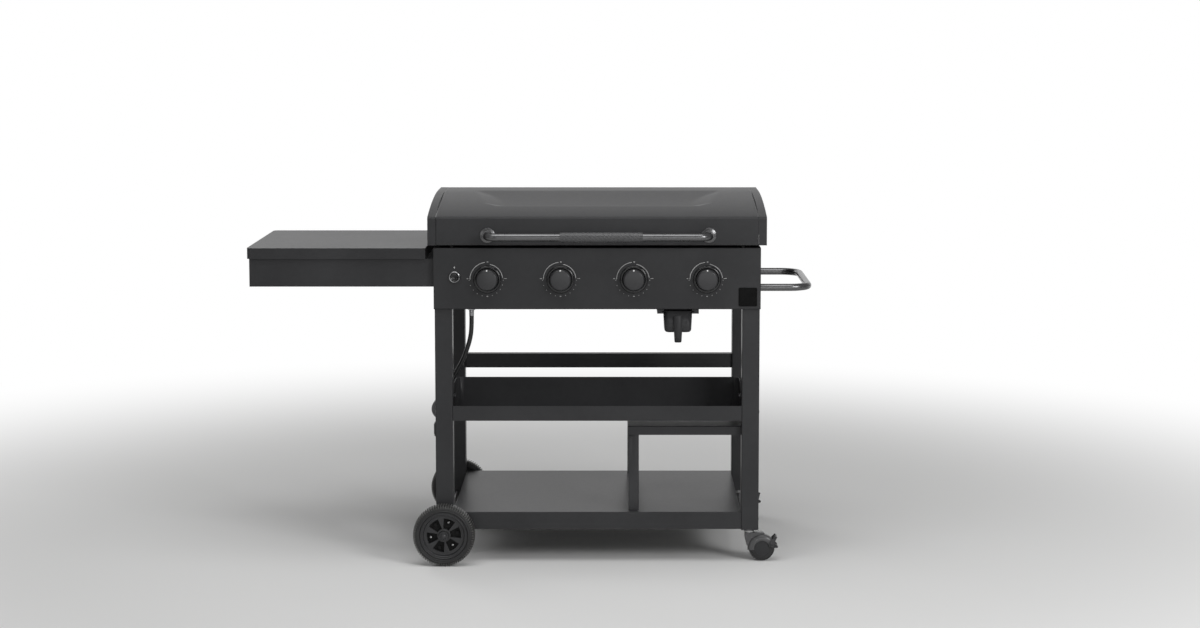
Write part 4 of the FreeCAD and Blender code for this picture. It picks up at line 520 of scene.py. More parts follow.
HUB_FRONT += mm(
    (56.2, 8.4), (57.6, 9), (58.4, 10.8), (59.4, 15.8), (60.6, 16.9), (62.4, 17), (63.2, 16.3),
    (65.2, 16.3), (66, 17), (67.6, 16.9), (68.75, 15.8),
)
HUB_BACK = mm(
    (68.75, -15.8), (67.6, -17), (60.6, -17), (60, -16.2), (59.8, -6), (58.8, -5), (14.2, -5), (13.8, -6),
    (13.6, -19.4), (12.6, -20), (6.06, -19.7),
)
POCKETS = 6
POCKET_TURN = math.radians(10)
POCKET_HALF = math.radians(19.5)
POCKET_FLOOR = -0.0018
POCKET_FLARE = 0.24
FACE_LOW = 0.0080
POST_RING = 0.0385
DISC_SIDE = mm((17, -1.5), (53, -1.5), (53, -2.8), (17, -2.8))
WELL_SIDE = mm((6.2, 12.6), (10.9, 12.6), (10.9, 11.8), (6.2, 11.8))
POST_SIDE = mm((0, 4.2), (5, 4.2), (5.5, 3.6), (6, 0), (0, 0))
post_spots = []
for number in range(POCKETS):
    bearing = math.tau * number / POCKETS
    post_spots.append(Vector((POST_RING * math.cos(bearing), POST_RING * math.sin(bearing), POCKET_FLOOR)))
for end in WHEELS:
    node = "wheel_hub_" + end
    stand = wheel_stand(end) @ Matrix.Rotation(POCKET_TURN, 4, "Z")
    hub = lathe(HUB_FRONT + HUB_BACK, steps=72, closed=True)
    pocket_faces = []
    for face in hub.faces:
        spot = face.calc_center_median()
        swing = math.atan2(spot.y, spot.x) % (math.tau / POCKETS)
        swing = min(swing, math.tau / POCKETS - swing)
        if spot.z > FACE_LOW and POCKET_IN < spot.xy.length < POCKET_OUT and swing < POCKET_HALF:
            pocket_faces.append(face)
    sunk = bmesh.ops.extrude_face_region(hub, geom=pocket_faces)["geom"]
    for vert in only(bmesh.types.BMVert, sunk):
        vert.co.z = POCKET_FLOOR
    bmesh.ops.delete(hub, geom=[face for face in pocket_faces if face.is_valid], context="FACES")
    for vert in hub.verts:
        radius = vert.co.xy.length
        if POCKET_FLOOR - 0.0001 < vert.co.z and abs(radius - POCKET_IN) < 0.0002:
            angle = math.atan2(vert.co.y, vert.co.x)
            angle += POCKET_FLARE * math.sin(POCKETS * angle) * POCKET_HALF
            vert.co.xy = (radius * math.cos(angle), radius * math.sin(angle))
    brims = []
    for edge in sharp_edges(hub, 60):
        spot = edge.verts[0].co
        if spot.z > FACE_LOW and POCKET_IN - 0.001 < spot.xy.length < POCKET_OUT + 0.001:
            brims.append(edge)
    ease(hub, brims, 0.0009)
    face_outward(hub)
    hub.transform(stand)
    close_piece("hub_moulding_" + end, hub, node, hub_plastic, (node,), smooth=32)
    # Painted shade: near-black discs over the pocket floors, the posts in them and the well round the axle.
    floors = [lathe(DISC_SIDE, steps=72, closed=True), lathe(WELL_SIDE, steps=48, closed=True)]
    floors = gather(floors + [lathe(POST_SIDE, spot, steps=20) for spot in post_spots])
    floors.transform(stand)
    close_piece("hub_pocket_painted_shade_" + end, floors, node, painted_shade_plastic, smooth=32)


# Wheel fittings. Each wheel is held on the rod by a flat washer and a domed cap nut outside and a
# zinc-plated spacer inside, and its two halves by three zinc-plated screws on the posts.
zinc = two_tone(
    "zinc_plate", 160, (0.40, 0.40, 0.41), (0.58, 0.58, 0.58), (0.22, 0.38), detail=3, Metallic=1.0,
)
LEG_HALF = 0.025
WHEEL_R = 0.089
SPACER_Y = 0.29025
CAP_NUT_TALL = 0.0098
SPACER_SIDE = mm((6.1, 0), (10, 0), (10, 13.5), (6.1, 13.5))
WASHER_SIDE = mm((6, 0), (12.5, 0), (12.5, 1.2), (6, 1.2))
NUT_SIDE = mm((0, 1.3), (9.8, 1.3), (9.8, 5.2), (9, 6), (0, 6))
DOME_SIDE = mm((0, 6), (7.5, 6), (7, 7.8), (5.2, 9.2), (2.6, 9.7), (0, 9.8))
HEAD_SIDE = mm((0, 6.8), (1.4, 6.7), (2.6, 6.1), (3.3, 5.2), (3.4, 4), (0, 4))
low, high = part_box("axle_hardware")
spacers = []
nuts = []
for way, edge in ((-1, low.y), (1, high.y)):
    inside = at(LEG_HALF - half_width, way * SPACER_Y, WHEEL_R)
    outside = Vector((inside.x, edge - way * CAP_NUT_TALL, WHEEL_R))
    spacers.append(lathe(SPACER_SIDE, inside, (0, way, 0), 32, closed=True))
    nuts.append(lathe(WASHER_SIDE, outside, (0, way, 0), 40, closed=True))
    nuts.append(lathe(NUT_SIDE, outside, (0, way, 0), 6))
    nuts.append(lathe(DOME_SIDE, outside, (0, way, 0), 40))
close_piece("axle_nuts", gather(nuts), "axle_hardware", bolt_steel, ("axle_hardware",), smooth=30)
close_piece("axle_collars", gather(spacers), "axle_hardware", zinc, smooth=30)
repaint("axle_rod", zinc)
for end in WHEELS:
    heads = gather([lathe(HEAD_SIDE, spot, steps=24) for spot in post_spots[1::2]])
    heads.transform(wheel_stand(end) @ Matrix.Rotation(POCKET_TURN, 4, "Z"))
    close_piece("hub_screws_" + end, heads, "wheel_hub_" + end, zinc, smooth=30)


# Casters. Each has a plate and stem in a leg's end, a zinc swivel race, a moulded hood over the top
# of the wheel with a round cover on the pin, and a brake pedal with two treads behind the wheel.
caster_paint = powder_coat("caster_paint", (0.036, 0.0362, 0.038), 0.33)
hood_plastic = powder_coat("hood_plastic", (0.075, 0.075, 0.077), 0.26, 0.00003, shine=0.4)
tread_plastic = powder_coat("tread_plastic", (0.016, 0.016, 0.017), 0.17, 0.00002, shine=0.5)
eased_copy("caster_plates", caster_paint, fold=0.0012)
CASTER_SIDE = mm(
    (4.06, 14.2), (8.8, 14.2), (9.5, 12.5), (20, 12.5), (22.5, 13.3), (25.8, 13.2), (27.5, 12.4),
    (32.2, 9.2), (33.6, 8.6), (35.2, 8.4), (36.6, 7), (37.4, 4.5), (37.5, 1.5),
)
HOOD_SIDE = mm(
    (39.2, 3), (39, 6.8), (37.8, 9.8), (35.7, 12.2), (32.5, 14.2), (29, 15.2), (22, 14.6), (22, 15),
    (22.6, 16.2), (24.2, 17.2), (26.2, 17.4), (30, 17.1), (34, 15.9), (37.2, 13.7), (39.4, 10.8),
    (40.6, 7.2), (41, 3),
)
HOOD_START = math.radians(16)
HOOD_SWEEP = math.radians(172)
COVER_SIDE = mm((0, 14.6), (11, 14.5), (18, 14.2), (20.7, 13.9), (21.4, 13.5), (21.4, 12.6), (0, 12.6))
RACE_SIDE = mm(
    (6.5, 47), (13.8, 47), (14.7, 48.2), (14.7, 51.2), (13.8, 52.2), (12.2, 52.6), (12.2, 56),
    (11.2, 56.6), (6.5, 56.6),
)
CASTER_TURN = {"front": 0, "rear": 45}
CASTER_R = 0.0375
CROWN_HALF = 0.0125
CROWN_REACH = 0.0398
PIN_SPOT = Vector((0.0270, 0.0145, 0))
PIN_REACH = 0.0199
caster_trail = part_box("caster_wheel_front")[1].x - CASTER_R - (cart_x + half_width - LEG_HALF)
BLOCK_SIDE = [
    (-caster_trail - 0.0135, 0.0472), (-caster_trail - 0.0135, 0.0300), (-caster_trail - 0.0080, 0.0090),
]
for angle in range(172, 80, -7):
    bearing = math.radians(angle)
    BLOCK_SIDE.append((CROWN_REACH * math.cos(bearing), CROWN_REACH * math.sin(bearing)))
BLOCK_SIDE += [(0.0080, 0.0440), (0.0040, 0.0472)]
for end, swing in CASTER_TURN.items():
    wheel = "caster_wheel_" + end
    low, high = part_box(wheel)
    stand = upright((low + high) / 2, math.radians(swing))
    fork = "caster_fork_" + end
    eased_copy("caster_pedal_" + end, plastic, fold=0.0006, rim=0.0004)
    tread = lathe(mirrored(CASTER_SIDE), steps=72, closed=True)
    tread.transform(stand)
    close_piece("caster_tread_" + end, tread, wheel, tread_plastic, (wheel,), smooth=32)

    hood = bmesh.new()
    points = [(radius, 0, height) for radius, height in mirrored(HOOD_SIDE)]
    sweep(hood, points, HOOD_SWEEP, 48, closed=True)
    bmesh.ops.holes_fill(hood, edges=hood.edges, sides=0)
    face_outward(hood)
    hood.transform(Matrix.Rotation(HOOD_START, 4, "Z"))
    block = bmesh.new()
    flat = block.faces.new([block.verts.new((x, y, -CROWN_HALF)) for x, y in BLOCK_SIDE])
    raised = bmesh.ops.extrude_face_region(block, geom=[flat])["geom"]
    for vert in only(bmesh.types.BMVert, raised):
        vert.co.z = CROWN_HALF
    face_outward(block)
    ease(block, sharp_edges(block, 40), 0.0014, 3)
    shape = gather([hood, block])
    shape.transform(stand)
    close_piece("caster_hood_" + end, shape, fork, hood_plastic, (fork,), smooth=32)
    covers = gather([lathe(COVER_SIDE, along=(0, 0, way)) for way in (-1, 1)])
    covers.transform(stand)
    close_piece("caster_covers_" + end, covers, fork, caster_paint, smooth=32)
    race = lathe(RACE_SIDE, stand @ Vector((-caster_trail, 0, 0)), steps=48, closed=True)
    close_piece("caster_race_" + end, race, fork, zinc, smooth=30)
    pins = []
    for way in (-1, 1):
        along = Vector((0, 0, way))
        pins.append(bolt(stand @ (PIN_SPOT + PIN_REACH * along), stand.to_3x3() @ along, 0.0018))
    close_piece("caster_bolts_" + end, gather(pins), fork, bolt_steel)


# Body panels. The folded front, the two sides and the pierced back, all in satin charcoal powder
# paint, screwed together down their edges.
body_paint = powder_coat("body_paint", (0.031, 0.0312, 0.0327), 0.40)
eased_copy("control_panel", body_paint, fold=0.0026, rim=0)
eased_copy("side_panels", body_paint, fold=0.0015)
eased_copy("rear_panel", body_paint, fold=0)
side_low, side_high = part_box("side_panels")
rear_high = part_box("rear_panel")[1]
LOW_ROW = 0.757
MIDDLE_ROW = 0.826
screws = []
for y in (-0.215, 0.06, 0.262):
    screws.append(screw(Vector((side_low.x, cart_y + y, LOW_ROW)), (-1, 0, 0)))
    for z in (LOW_ROW, MIDDLE_ROW, 0.895):
        screws.append(screw(Vector((side_high.x, cart_y + y, z)), (1, 0, 0)))
for x, heights in ((0.16, (LOW_ROW, 0.902)), (0.448, (LOW_ROW, MIDDLE_ROW, 0.902))):
    for z in heights:
        for side in (-1, 1):
            screws.append(screw(Vector((cart_x + side * x, rear_high.y, z)), (0, 1, 0)))
close_piece("body_screws", gather(screws), "side_panels", bolt_steel)


# Inside of the body. A pressed burner box over four stainless tube burners, the painted gas pipe
# with its brass valves, and the spark electrodes.
stainless = Finish("stainless")
brushing = stainless.noise(900, detail=2, stretch=(1, 0.02, 1))
streaks = stainless.blend(brushing, 0.6, stainless.noise(14, detail=3))
stainless.set(Base_Color=stainless.shades(streaks, (0.3, (0.38, 0.36, 0.34)), (0.7, (0.58, 0.57, 0.55))))
stainless.set(Roughness=stainless.between(brushing, 0.25, 0.42), Metallic=1.0)
brass = two_tone("brass", 500, (0.50, 0.34, 0.13), (0.66, 0.48, 0.22), (0.28, 0.42), detail=2, Metallic=1.0)
inside_parts = (
    ("burner_box", frame_paint), ("burners", stainless), ("gas_manifold", frame_paint),
    ("valve_bodies", brass), ("igniter", plastic), ("grease_chute", frame_paint),
)
for node, finish in inside_parts:
    eased_copy(node, finish, fold=0, rim=0.0003)
for number in range(1, 5):
    repaint("valve_stem_%d" % number, brass)


# Lid buffers. Round plugs of soft matt rubber pushed into the lid's edge, so that metal doesn't
# strike metal when it closes.
buffer_rubber = Finish("buffer_rubber")
speckle = buffer_rubber.noise(900, detail=3)
shade = buffer_rubber.shades(speckle, (0.3, (0.004, 0.004, 0.004)), (0.7, (0.008, 0.008, 0.008)))
buffer_rubber.set(Base_Color=shade, Roughness=0.85, Specular_IOR_Level=0.15)
eased_copy("lid_buffers", buffer_rubber, fold=0, rim=0.0003)


# Griddle plate. Thick rolled steel with welded splash walls and a grease trough, dark and glossy
# from oil baked on in patches, with finer scraper marks along its width.
seasoned = Finish("seasoned_steel")
patch = seasoned.noise(9, detail=6, roughness=0.6)
pores = seasoned.noise(650, detail=3)
scrape = seasoned.noise(260, detail=2, stretch=(0.04, 1, 1))
tone = seasoned.blend(patch, 0.75, scrape)
seasoned.set(Base_Color=seasoned.shades(tone, (0.3, (0.012, 0.010, 0.008)), (0.7, (0.038, 0.030, 0.024))))
seasoned.set(Roughness=seasoned.between(tone, 0.26, 0.5), Metallic=0.6)
seasoned.bump(seasoned.blend(pores, 0.6, scrape), 0.0001)
eased_copy("griddle_plate", seasoned, fold=0.0012)


# Knobs. Moulded in satin plastic with a bright turned chamfer, each on a brass stem inside a
# glossy bezel ring, and with one white dot for a pointer.
knob_plastic = powder_coat("knob_plastic", (0.030, 0.0302, 0.032), 0.30, 0.00003, shine=0.4)
gloss_black = two_tone("gloss_black", 30, (0.006, 0.006, 0.007), (0.010, 0.010, 0.011), (0.10, 0.18))
print_white = two_tone(
    "print_white", 220, (0.55, 0.55, 0.55), (0.78, 0.78, 0.77), (0.4, 0.55), places=(0.25, 0.6),
)
KNOB_OUTLINE = mm(
    (0, 20), (4.06, 20), (4.06, 6), (9, 6), (9, 23.9), (28.4, 23.9), (28.4, 4), (30.6, 4), (31, 4.6),
    (30.7, 20.5), (30.3, 22.2), (29.3, 24), (27.8, 26), (26.8, 26.7), (25.5, 27), (20, 27.4), (10, 27.8),
    (0, 28),
)
BEZEL_OUTLINE = mm(
    (32.3, 0), (40, 0), (40, 1.2), (39.7, 2.6), (38.9, 4.1), (37.6, 5.3), (36, 5.9), (34.2, 6), (33, 5.6),
    (32.3, 4.6),
)
KNOB_X = [-0.3135, -0.1045, 0.1045, 0.3135]
panel_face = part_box("control_panel")[0].y
KNOB_Z = 0.824
DOT_AT = Vector((0, -0.0258, 0.0277))
DOT_FACES = (0, -0.9, 0.55)
bezels = []
for number, x in enumerate(KNOB_X, start=1):
    centre = Vector((cart_x + x, panel_face, KNOB_Z))
    node = "knob_%d" % number
    bezels.append(lathe(BEZEL_OUTLINE, centre, (0, -1, 0), steps=96, closed=True))
    knob = lathe(KNOB_OUTLINE, centre, (0, -1, 0), steps=96)
    close_piece("knob_turned_%d" % number, knob, node, knob_plastic, (node,), smooth=28)
    pointer = disc(0.0024, 0.0003, centre + DOT_AT, DOT_FACES, 24)
    close_piece("knob_pointer_%d" % number, pointer, node, print_white)
close_piece("bezel_rings", gather(bezels), "knob_bezels", gloss_black, ("knob_bezels",), smooth=28)


# Printed marks round each knob. Screen-printed in pale grey: two swept arcs for high and low, a ring
# of dots below, and short ticks at the stops.
print_grey = two_tone(
    "print_grey", 35, (0.24, 0.24, 0.24), (0.42, 0.42, 0.42), (0.4, 0.55), places=(0.3, 0.65),
)
INK = 0.00008
INK_GAP = 0.00012
STROKES = [
    (0.0492, 97, 180, 0.0019), (0.0438, 5, 80.3, 0.0020), (0.0500, 86.5, 91.5, 0.0030),
    (0.0515, 2.2, 4.0, 0.0090), (0.0562, 176.8, 178.8, 0.0050), (0.0485, 267.5, 272.5, 0.0024),
]


def flat_arc(centre, radius, start, end, wide):
    """A printed stroke along part of a circle, seen from the front."""
    bm = bmesh.new()
    begin = math.radians(start)
    heading = Vector((math.cos(begin), 0, math.sin(begin)))
    ends = [heading * (radius + way * wide / 2) for way in (-1, 1)]
    sweep(bm, ends, math.radians(end - start), max(2, int((end - start) / 3)), axis=(0, -1, 0))
    bm.transform(Matrix.Translation(centre))
    return bm


def thicken(piece, thickness, offset=-1):
    """Give a sheet its thickness, inwards or outwards."""
    wall = piece.modifiers.new("wall", "SOLIDIFY")
    wall.thickness = thickness
    wall.offset = offset


marks = []
for x in KNOB_X:
    centre = Vector((cart_x + x, panel_face - INK_GAP, KNOB_Z))
    marks += [flat_arc(centre, *stroke) for stroke in STROKES]
    for step in (0, 1, 2, 3, 4, 6, 7, 8, 9, 10):
        bearing = math.radians(182.5 + 17.5 * step)
        spot = Vector((math.cos(bearing), 0, math.sin(bearing))) * (0.0515 - 0.0006 * step)
        marks.append(disc(0.0010, INK, centre + spot, (0, -1, 0), 20))
thicken(close_piece("dial_marks", gather(marks), "control_panel", print_grey), INK)


# Igniter. A domed collar in smoky chrome round a glossy push button that is sunk in it, with a
# small printed spark above.
SPARK_X = -0.407
SPARK_Z = 0.831
spark_centre = Vector((cart_x + SPARK_X, panel_face, SPARK_Z))
COLLAR_OUTLINE = mm(
    (11.12, 4.1), (11.6, 5), (12.6, 5.6), (14, 5.7), (15.5, 5), (16.6, 3.7), (17.15, 2), (17.15, 0.05),
    (11.12, 0.05),
)
BUTTON_OUTLINE = mm(
    (0, 7.4), (5.5, 7.5), (7.8, 8), (9.1, 8.9), (10, 9), (10.7, 8.4), (11, 7), (11, 2), (3.5, 2),
    (3.5, -18), (0, -18),
)
dark_chrome = two_tone(
    "dark_chrome", 40, (0.20, 0.20, 0.205), (0.27, 0.27, 0.275), (0.16, 0.26), Metallic=1.0,
)
collar = lathe(COLLAR_OUTLINE, spark_centre, (0, -1, 0), steps=72, closed=True)
close_piece("igniter_collar", collar, "igniter", dark_chrome, smooth=28)
button = lathe(BUTTON_OUTLINE, spark_centre, (0, -1, 0), steps=64)
close_piece("igniter_cap", button, "igniter_button", gloss_black, ("igniter_button",), smooth=28)
SPARK_RISE = 0.0265
ZIGZAG = mm((0.8, 4.5), (-2.6, -0.4), (-0.2, -0.4), (-1.2, -4.5), (2.6, 0.8), (0.2, 0.8))
spark = bmesh.new()
spark.faces.new([spark.verts.new((x, 0, z)) for x, z in ZIGZAG])
spark.transform(Matrix.Translation(spark_centre + Vector((0, -INK_GAP, SPARK_RISE))))
thicken(close_piece("spark_mark", spark, "control_panel", print_white), INK)


# Badge place. A bare glossy plate at the panel's lower right corner, with a sunk border line and
# no lettering, fixed by two hidden studs.
BADGE_RINGS = mm(
    (0, 1.2), (0, -0.6), (0.2, -1), (0.6, -1.2), (2.6, -1.2), (2.8, -0.8), (3.6, -0.8), (3.8, -1.2),
)
BADGE_HALF_X = 0.02615
BADGE_HALF_Z = 0.0267
BADGE_CORNER = 0.0032
badge = bmesh.new()
rings = []
for inset, depth in BADGE_RINGS:
    ring = []
    corner = max(BADGE_CORNER - inset, 0.0002)
    for quarter, (side_x, side_z) in enumerate(((1, 1), (-1, 1), (-1, -1), (1, -1))):
        for step in range(5):
            angle = math.radians(90 * quarter + 22.5 * step)
            x = side_x * (BADGE_HALF_X - inset - corner) + corner * math.cos(angle)
            z = side_z * (BADGE_HALF_Z - inset - corner) + corner * math.sin(angle)
            ring.append(badge.verts.new((x, depth, z)))
    rings.append(ring)
for outer, inner in zip(rings, rings[1:]):
    for number in range(len(outer)):
        badge.faces.new((outer[number - 1], outer[number], inner[number], inner[number - 1]))
badge.faces.new(rings[-1])
badge.faces.new(reversed(rings[0]))
face_outward(badge)
badge.transform(Matrix.Translation((cart_x + 0.4299, panel_face - 0.0011, 0.7736)))
badge_black = two_tone(
    "badge_black", 60, (0.0025, 0.0025, 0.0025), (0.0045, 0.0045, 0.0045), (0.16, 0.26),
    Specular_IOR_Level=0.08,
)
close_piece("badge_plate", badge, "control_panel", badge_black, smooth=18)


# Grease cup. A drawn steel cup with rounded corners, a turned-out rim that slides in two rails, and
# a folded pull tab spot-welded to its front.
eased_copy("cup_rails", body_paint, fold=0.0006, rim=0.0006)
cup_low, cup_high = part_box("grease_cup")
cup_x = (cup_low.x + cup_high.x) / 2
CUP_TOP_W = 0.0800
CUP_LOW_W = 0.0745
CUP_DEEP = 0.0870
CUP_TALL = 0.0610
RIM_W = 0.0922
cup_y = cup_high.y - CUP_DEEP / 2
cup = bmesh.new()
bmesh.ops.create_cube(cup, size=1)
bmesh.ops.scale(cup, vec=(CUP_TOP_W, CUP_DEEP, CUP_TALL), verts=cup.verts)
foot = [vert for vert in cup.verts if vert.co.z < 0]
bmesh.ops.scale(cup, vec=(CUP_LOW_W / CUP_TOP_W, 0.95, 1), verts=foot)
corner_edges = [edge for edge in cup.edges if abs(edge.verts[0].co.z - edge.verts[1].co.z) > 0.01]
ease(cup, corner_edges, 0.0135, 7)
base = min(cup.faces, key=lambda f: f.calc_center_median().z)
ease(cup, list(base.edges), 0.0075, 5)
mouth = max(cup.faces, key=lambda f: f.calc_center_median().z)
rim_edges = list(mouth.edges)
bmesh.ops.delete(cup, geom=[mouth], context="FACES_ONLY")
rim_verts, _ = draw_out(cup, rim_edges, (0, 0, 0))
bmesh.ops.scale(cup, vec=(RIM_W / CUP_TOP_W, 1.004, 1), verts=rim_verts)
ease(cup, rim_edges, 0.0012)
face_outward(cup)
cup.transform(Matrix.Translation((cup_x, cup_y, cup_high.z - 0.0002 - CUP_TALL / 2)))
thicken(close_piece("grease_cup_drawn", cup, "grease_cup", body_paint, ("grease_cup",)), 0.0011)

TAB_WIDE = 0.023
tab = bmesh.new()
tab_front = cup_low.y + 0.0001
tab_side = [
    (cup_y - CUP_DEEP / 2 + 0.0006, cup_high.z - 0.0135), (tab_front, cup_high.z - 0.0135),
    (tab_front, cup_high.z - 0.062), (tab_front, cup_low.z),
]
_, line = chain(tab, [(-TAB_WIDE / 2, y, z) for y, z in tab_side])
draw_out(tab, line, (TAB_WIDE, 0, 0))
tip = [vert for vert in tab.verts if vert.co.z < cup_low.z + 0.001]
bmesh.ops.scale(tab, vec=(0.87, 1, 1), verts=tip)
ease(tab, [edge for edge in tab.edges if edge.is_manifold and edge.calc_face_angle() > 0.5], 0.0022, 4)
tip = [vert for vert in tab.verts if vert.co.z < cup_low.z + 0.001]
ease(tab, tip, 0.004, 4, "VERTICES")
face_outward(tab)
tab.transform(Matrix.Translation((cup_x, 0, 0)))
thicken(close_piece("grease_cup_tab", tab, "grease_cup", body_paint), 0.0014, offset=1)


# Lid shell. One sheet folded up the front, rolled over the low crown and down the back, with a
# shallow panel pressed into its top. The panel's front crease is the sharpest.
lid_low, lid_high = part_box("lid_shell")
lid_half = (lid_high.x - lid_low.x) / 2
lid_front = lid_low.y - cart_y
LID_SHEET = 0.0015
CROWN_TOP = 0.1255
CROWN_R = 1.850
CROWN_END = 0.106
DISH_FRONT = -0.178
DISH_LIP = 0.010
DISH_BACK = 0.085
DISH_DEEP = 0.009
DISH_STEEP = DISH_DEEP / 0.053
DISH_EDGE = mm((-178, 295), (-139, 331), (-10, 350), (48, 363), (85, 367))


def crown(y):
    """Height of the crown above the lid's lower edge."""
    short = max(0.0, CROWN_END - y)
    return CROWN_TOP - CROWN_R + math.sqrt(CROWN_R ** 2 - short ** 2)


def soft_least(one, other, blend):
    """The smaller of two lengths, rounded over where they meet."""
    share = max(0.0, blend - abs(one - other)) / blend
    return min(one, other) - share * share * blend / 4


def dish_sink(x, y):
    """How far the pressed panel lies below the crown at a place."""
    floor_start = crown(DISH_FRONT + DISH_LIP) - DISH_DEEP
    rise = (crown(DISH_BACK) - floor_start) / (DISH_BACK - DISH_FRONT - DISH_LIP)
    floor = crown(y) - floor_start - rise * (y - DISH_FRONT - DISH_LIP)
    lip = (y - DISH_FRONT) * DISH_DEEP / DISH_LIP
    spot = min(max(y, DISH_EDGE[0][0]), DISH_EDGE[-1][0])
    for (near_y, near_x), (far_y, far_x) in zip(DISH_EDGE, DISH_EDGE[1:]):
        if spot <= far_y:
            edge = near_x + (far_x - near_x) * (spot - near_y) / (far_y - near_y)
            break
    side = (edge - abs(x)) * DISH_STEEP
    sink = soft_least(soft_least(floor, side, 0.0016), lip, 0.0022)
    return -soft_least(0.0, -sink, 0.0009)


shell = bmesh.new()
PROFILE = [
    (lid_front + 0.014, 0), (lid_front, 0), (lid_front, 0.080), (-0.094, CROWN_TOP), (0.240, CROWN_TOP),
    (-lid_front, 0.062), (-lid_front, 0),
]
FOLD_R = [0.0022, 0.008, CROWN_R, 0.080, 0.050]
FOLD_STEPS = [4, 8, 90, 12, 14]
_, line = chain(shell, [(-lid_half, y, z) for y, z in PROFILE])
draw_out(shell, line, (2 * lid_half, 0, 0))
folds = []
for (y, z), radius, steps in zip(PROFILE[1:-1], FOLD_R, FOLD_STEPS):
    spot = Vector((0, y, z))
    edge = min(shell.edges, key=lambda e: ((e.verts[0].co + e.verts[1].co) / 2 - spot).length)
    folds.append((edge, radius * math.tan(edge.calc_face_angle() / 2), steps))
for edge, width, steps in folds:
    ease(shell, [edge], width, steps)
long_edges = [edge for edge in shell.edges if abs(edge.verts[0].co.x - edge.verts[1].co.x) > lid_half]
bmesh.ops.subdivide_edges(shell, edges=long_edges, cuts=199, use_grid_fill=True)
face_outward(shell)
if sum(face.normal.z for face in shell.faces if face.calc_center_median().z > 0.1) < 0:
    bmesh.ops.reverse_faces(shell, faces=shell.faces)
for vert in shell.verts:
    if vert.co.z > 0.085 and DISH_FRONT - 0.01 < vert.co.y < DISH_BACK + 0.02:
        vert.co.z -= dish_sink(vert.co.x, vert.co.y)
shell.transform(Matrix.Translation((cart_x, cart_y, lid_low.z)))
lid_paint = powder_coat("lid_paint", (0.034, 0.0342, 0.0358), 0.40)
lid_piece = close_piece("lid_pressed", shell, "lid_shell", lid_paint, ("lid_shell",), smooth=50, even=False)
thicken(lid_piece, LID_SHEET)
eased_copy("lid_end_caps", lid_paint, fold=0.0020, rim=0.0004)


# Lid handle. A steel tube bent back at both ends into two turned roses, with a moulded sleeve over
# its middle that has a raised diamond grip.
handle_paint = powder_coat("handle_paint", (0.150, 0.150, 0.153), 0.27, 0.000004)
handle_paint.set(Metallic=0.95)
TUBE_SIDES = 40


def bent_tube(radius, corners, height, bend, steps=14):
    """A round tube at one height along these corners, each turned on the same bend radius."""
    bm = bmesh.new()
    corners = [Vector((x, y, height)) for x, y in corners]
    heading = (corners[1] - corners[0]).normalized()
    lying = standing(corners[0], heading)
    bmesh.ops.create_circle(bm, cap_ends=False, segments=TUBE_SIDES, radius=radius, matrix=lying)
    ring = bm.edges[:]
    start = corners[0]
    for here, after in zip(corners[1:-1], corners[2:]):
        onward = (after - here).normalized()
        reach = bend * math.tan(heading.angle(onward) / 2)
        stop = here - heading * reach
        moved, ring = draw_out(bm, ring, stop - start)
        centre = stop + (onward - heading * heading.dot(onward)).normalized() * bend
        spun = bmesh.ops.spin(
            bm, geom=moved + ring, cent=centre, axis=heading.cross(onward), angle=heading.angle(onward),
            steps=steps,
        )["geom_last"]
        ring = only(bmesh.types.BMEdge, spun)
        start = here + onward * reach
        heading = onward
    draw_out(bm, ring, corners[-1] - start)
    bmesh.ops.holes_fill(bm, edges=bm.edges, sides=TUBE_SIDES)
    face_outward(bm)
    return bm


bar_low, bar_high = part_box("lid_handle_bar")
bar_z = (bar_low.z + bar_high.z) / 2
BAR_R = 0.011
bar_line = bar_low.y + BAR_R
left = bar_low.x + BAR_R
right = bar_high.x - BAR_R
corners = [(left, bar_high.y), (left, bar_line), (right, bar_line), (right, bar_high.y)]
tube = bent_tube(BAR_R, corners, bar_z, 0.030)
close_piece("handle_tube", tube, "lid_handle_bar", handle_paint, ("lid_handle_bar",), smooth=30, even=False)

ROSE_OUTLINE = mm(
    (0, 0), (21.5, 0), (21.5, 2.2), (21, 3.4), (19.6, 4.2), (16.5, 4.9), (14.8, 6), (12.8, 6.2),
    (11.2, 6.2), (11.1, 2), (0, 2),
)
rose_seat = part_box("lid_handle_roses")[1].y
roses = gather([lathe(ROSE_OUTLINE, (x, rose_seat, bar_z), (0, -1, 0), steps=72) for x in (left, right)])
close_piece("handle_roses", roses, "lid_handle_roses", handle_paint, ("lid_handle_roses",), smooth=30)

grip_low, grip_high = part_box("lid_handle_grip")
GRIP_R = 0.0131
GRIP_PITCH = 0.012
GRIP_ROUND = 8
GRIP_LIFT = 0.0009
grip_long = grip_high.x - grip_low.x
END_RING = 0.006
GRIP_ROWS = 230
outline = [(0.01107, 0), (0.0134, 0), (0.0140, 0.0008), (0.0140, END_RING - 0.0008), (0.0136, END_RING)]
span = grip_long - 2 * END_RING
outline += [(GRIP_R, END_RING + span * (step + 0.5) / GRIP_ROWS) for step in range(GRIP_ROWS)]
outline += [(radius, grip_long - height) for radius, height in reversed(outline[:5])]
grip = lathe(outline, steps=112, closed=True)
for vert in grip.verts:
    radius = math.hypot(vert.co.x, vert.co.y)
    if abs(radius - GRIP_R) < 0.00001 and END_RING < vert.co.z < grip_long - END_RING:
        along = vert.co.z / GRIP_PITCH
        around = math.atan2(vert.co.y, vert.co.x) / math.tau * GRIP_ROUND
        one = abs((along + around) % 1 - 0.5) * 2
        other = abs((along - around) % 1 - 0.5) * 2
        lift = GRIP_LIFT * min(1.0, 3.2 * min(1 - one, 1 - other))
        vert.co.x *= 1 + lift / radius
        vert.co.y *= 1 + lift / radius
grip.transform(Matrix.Translation((grip_low.x, bar_line, bar_z)) @ Matrix.Rotation(math.pi / 2, 4, "Y"))
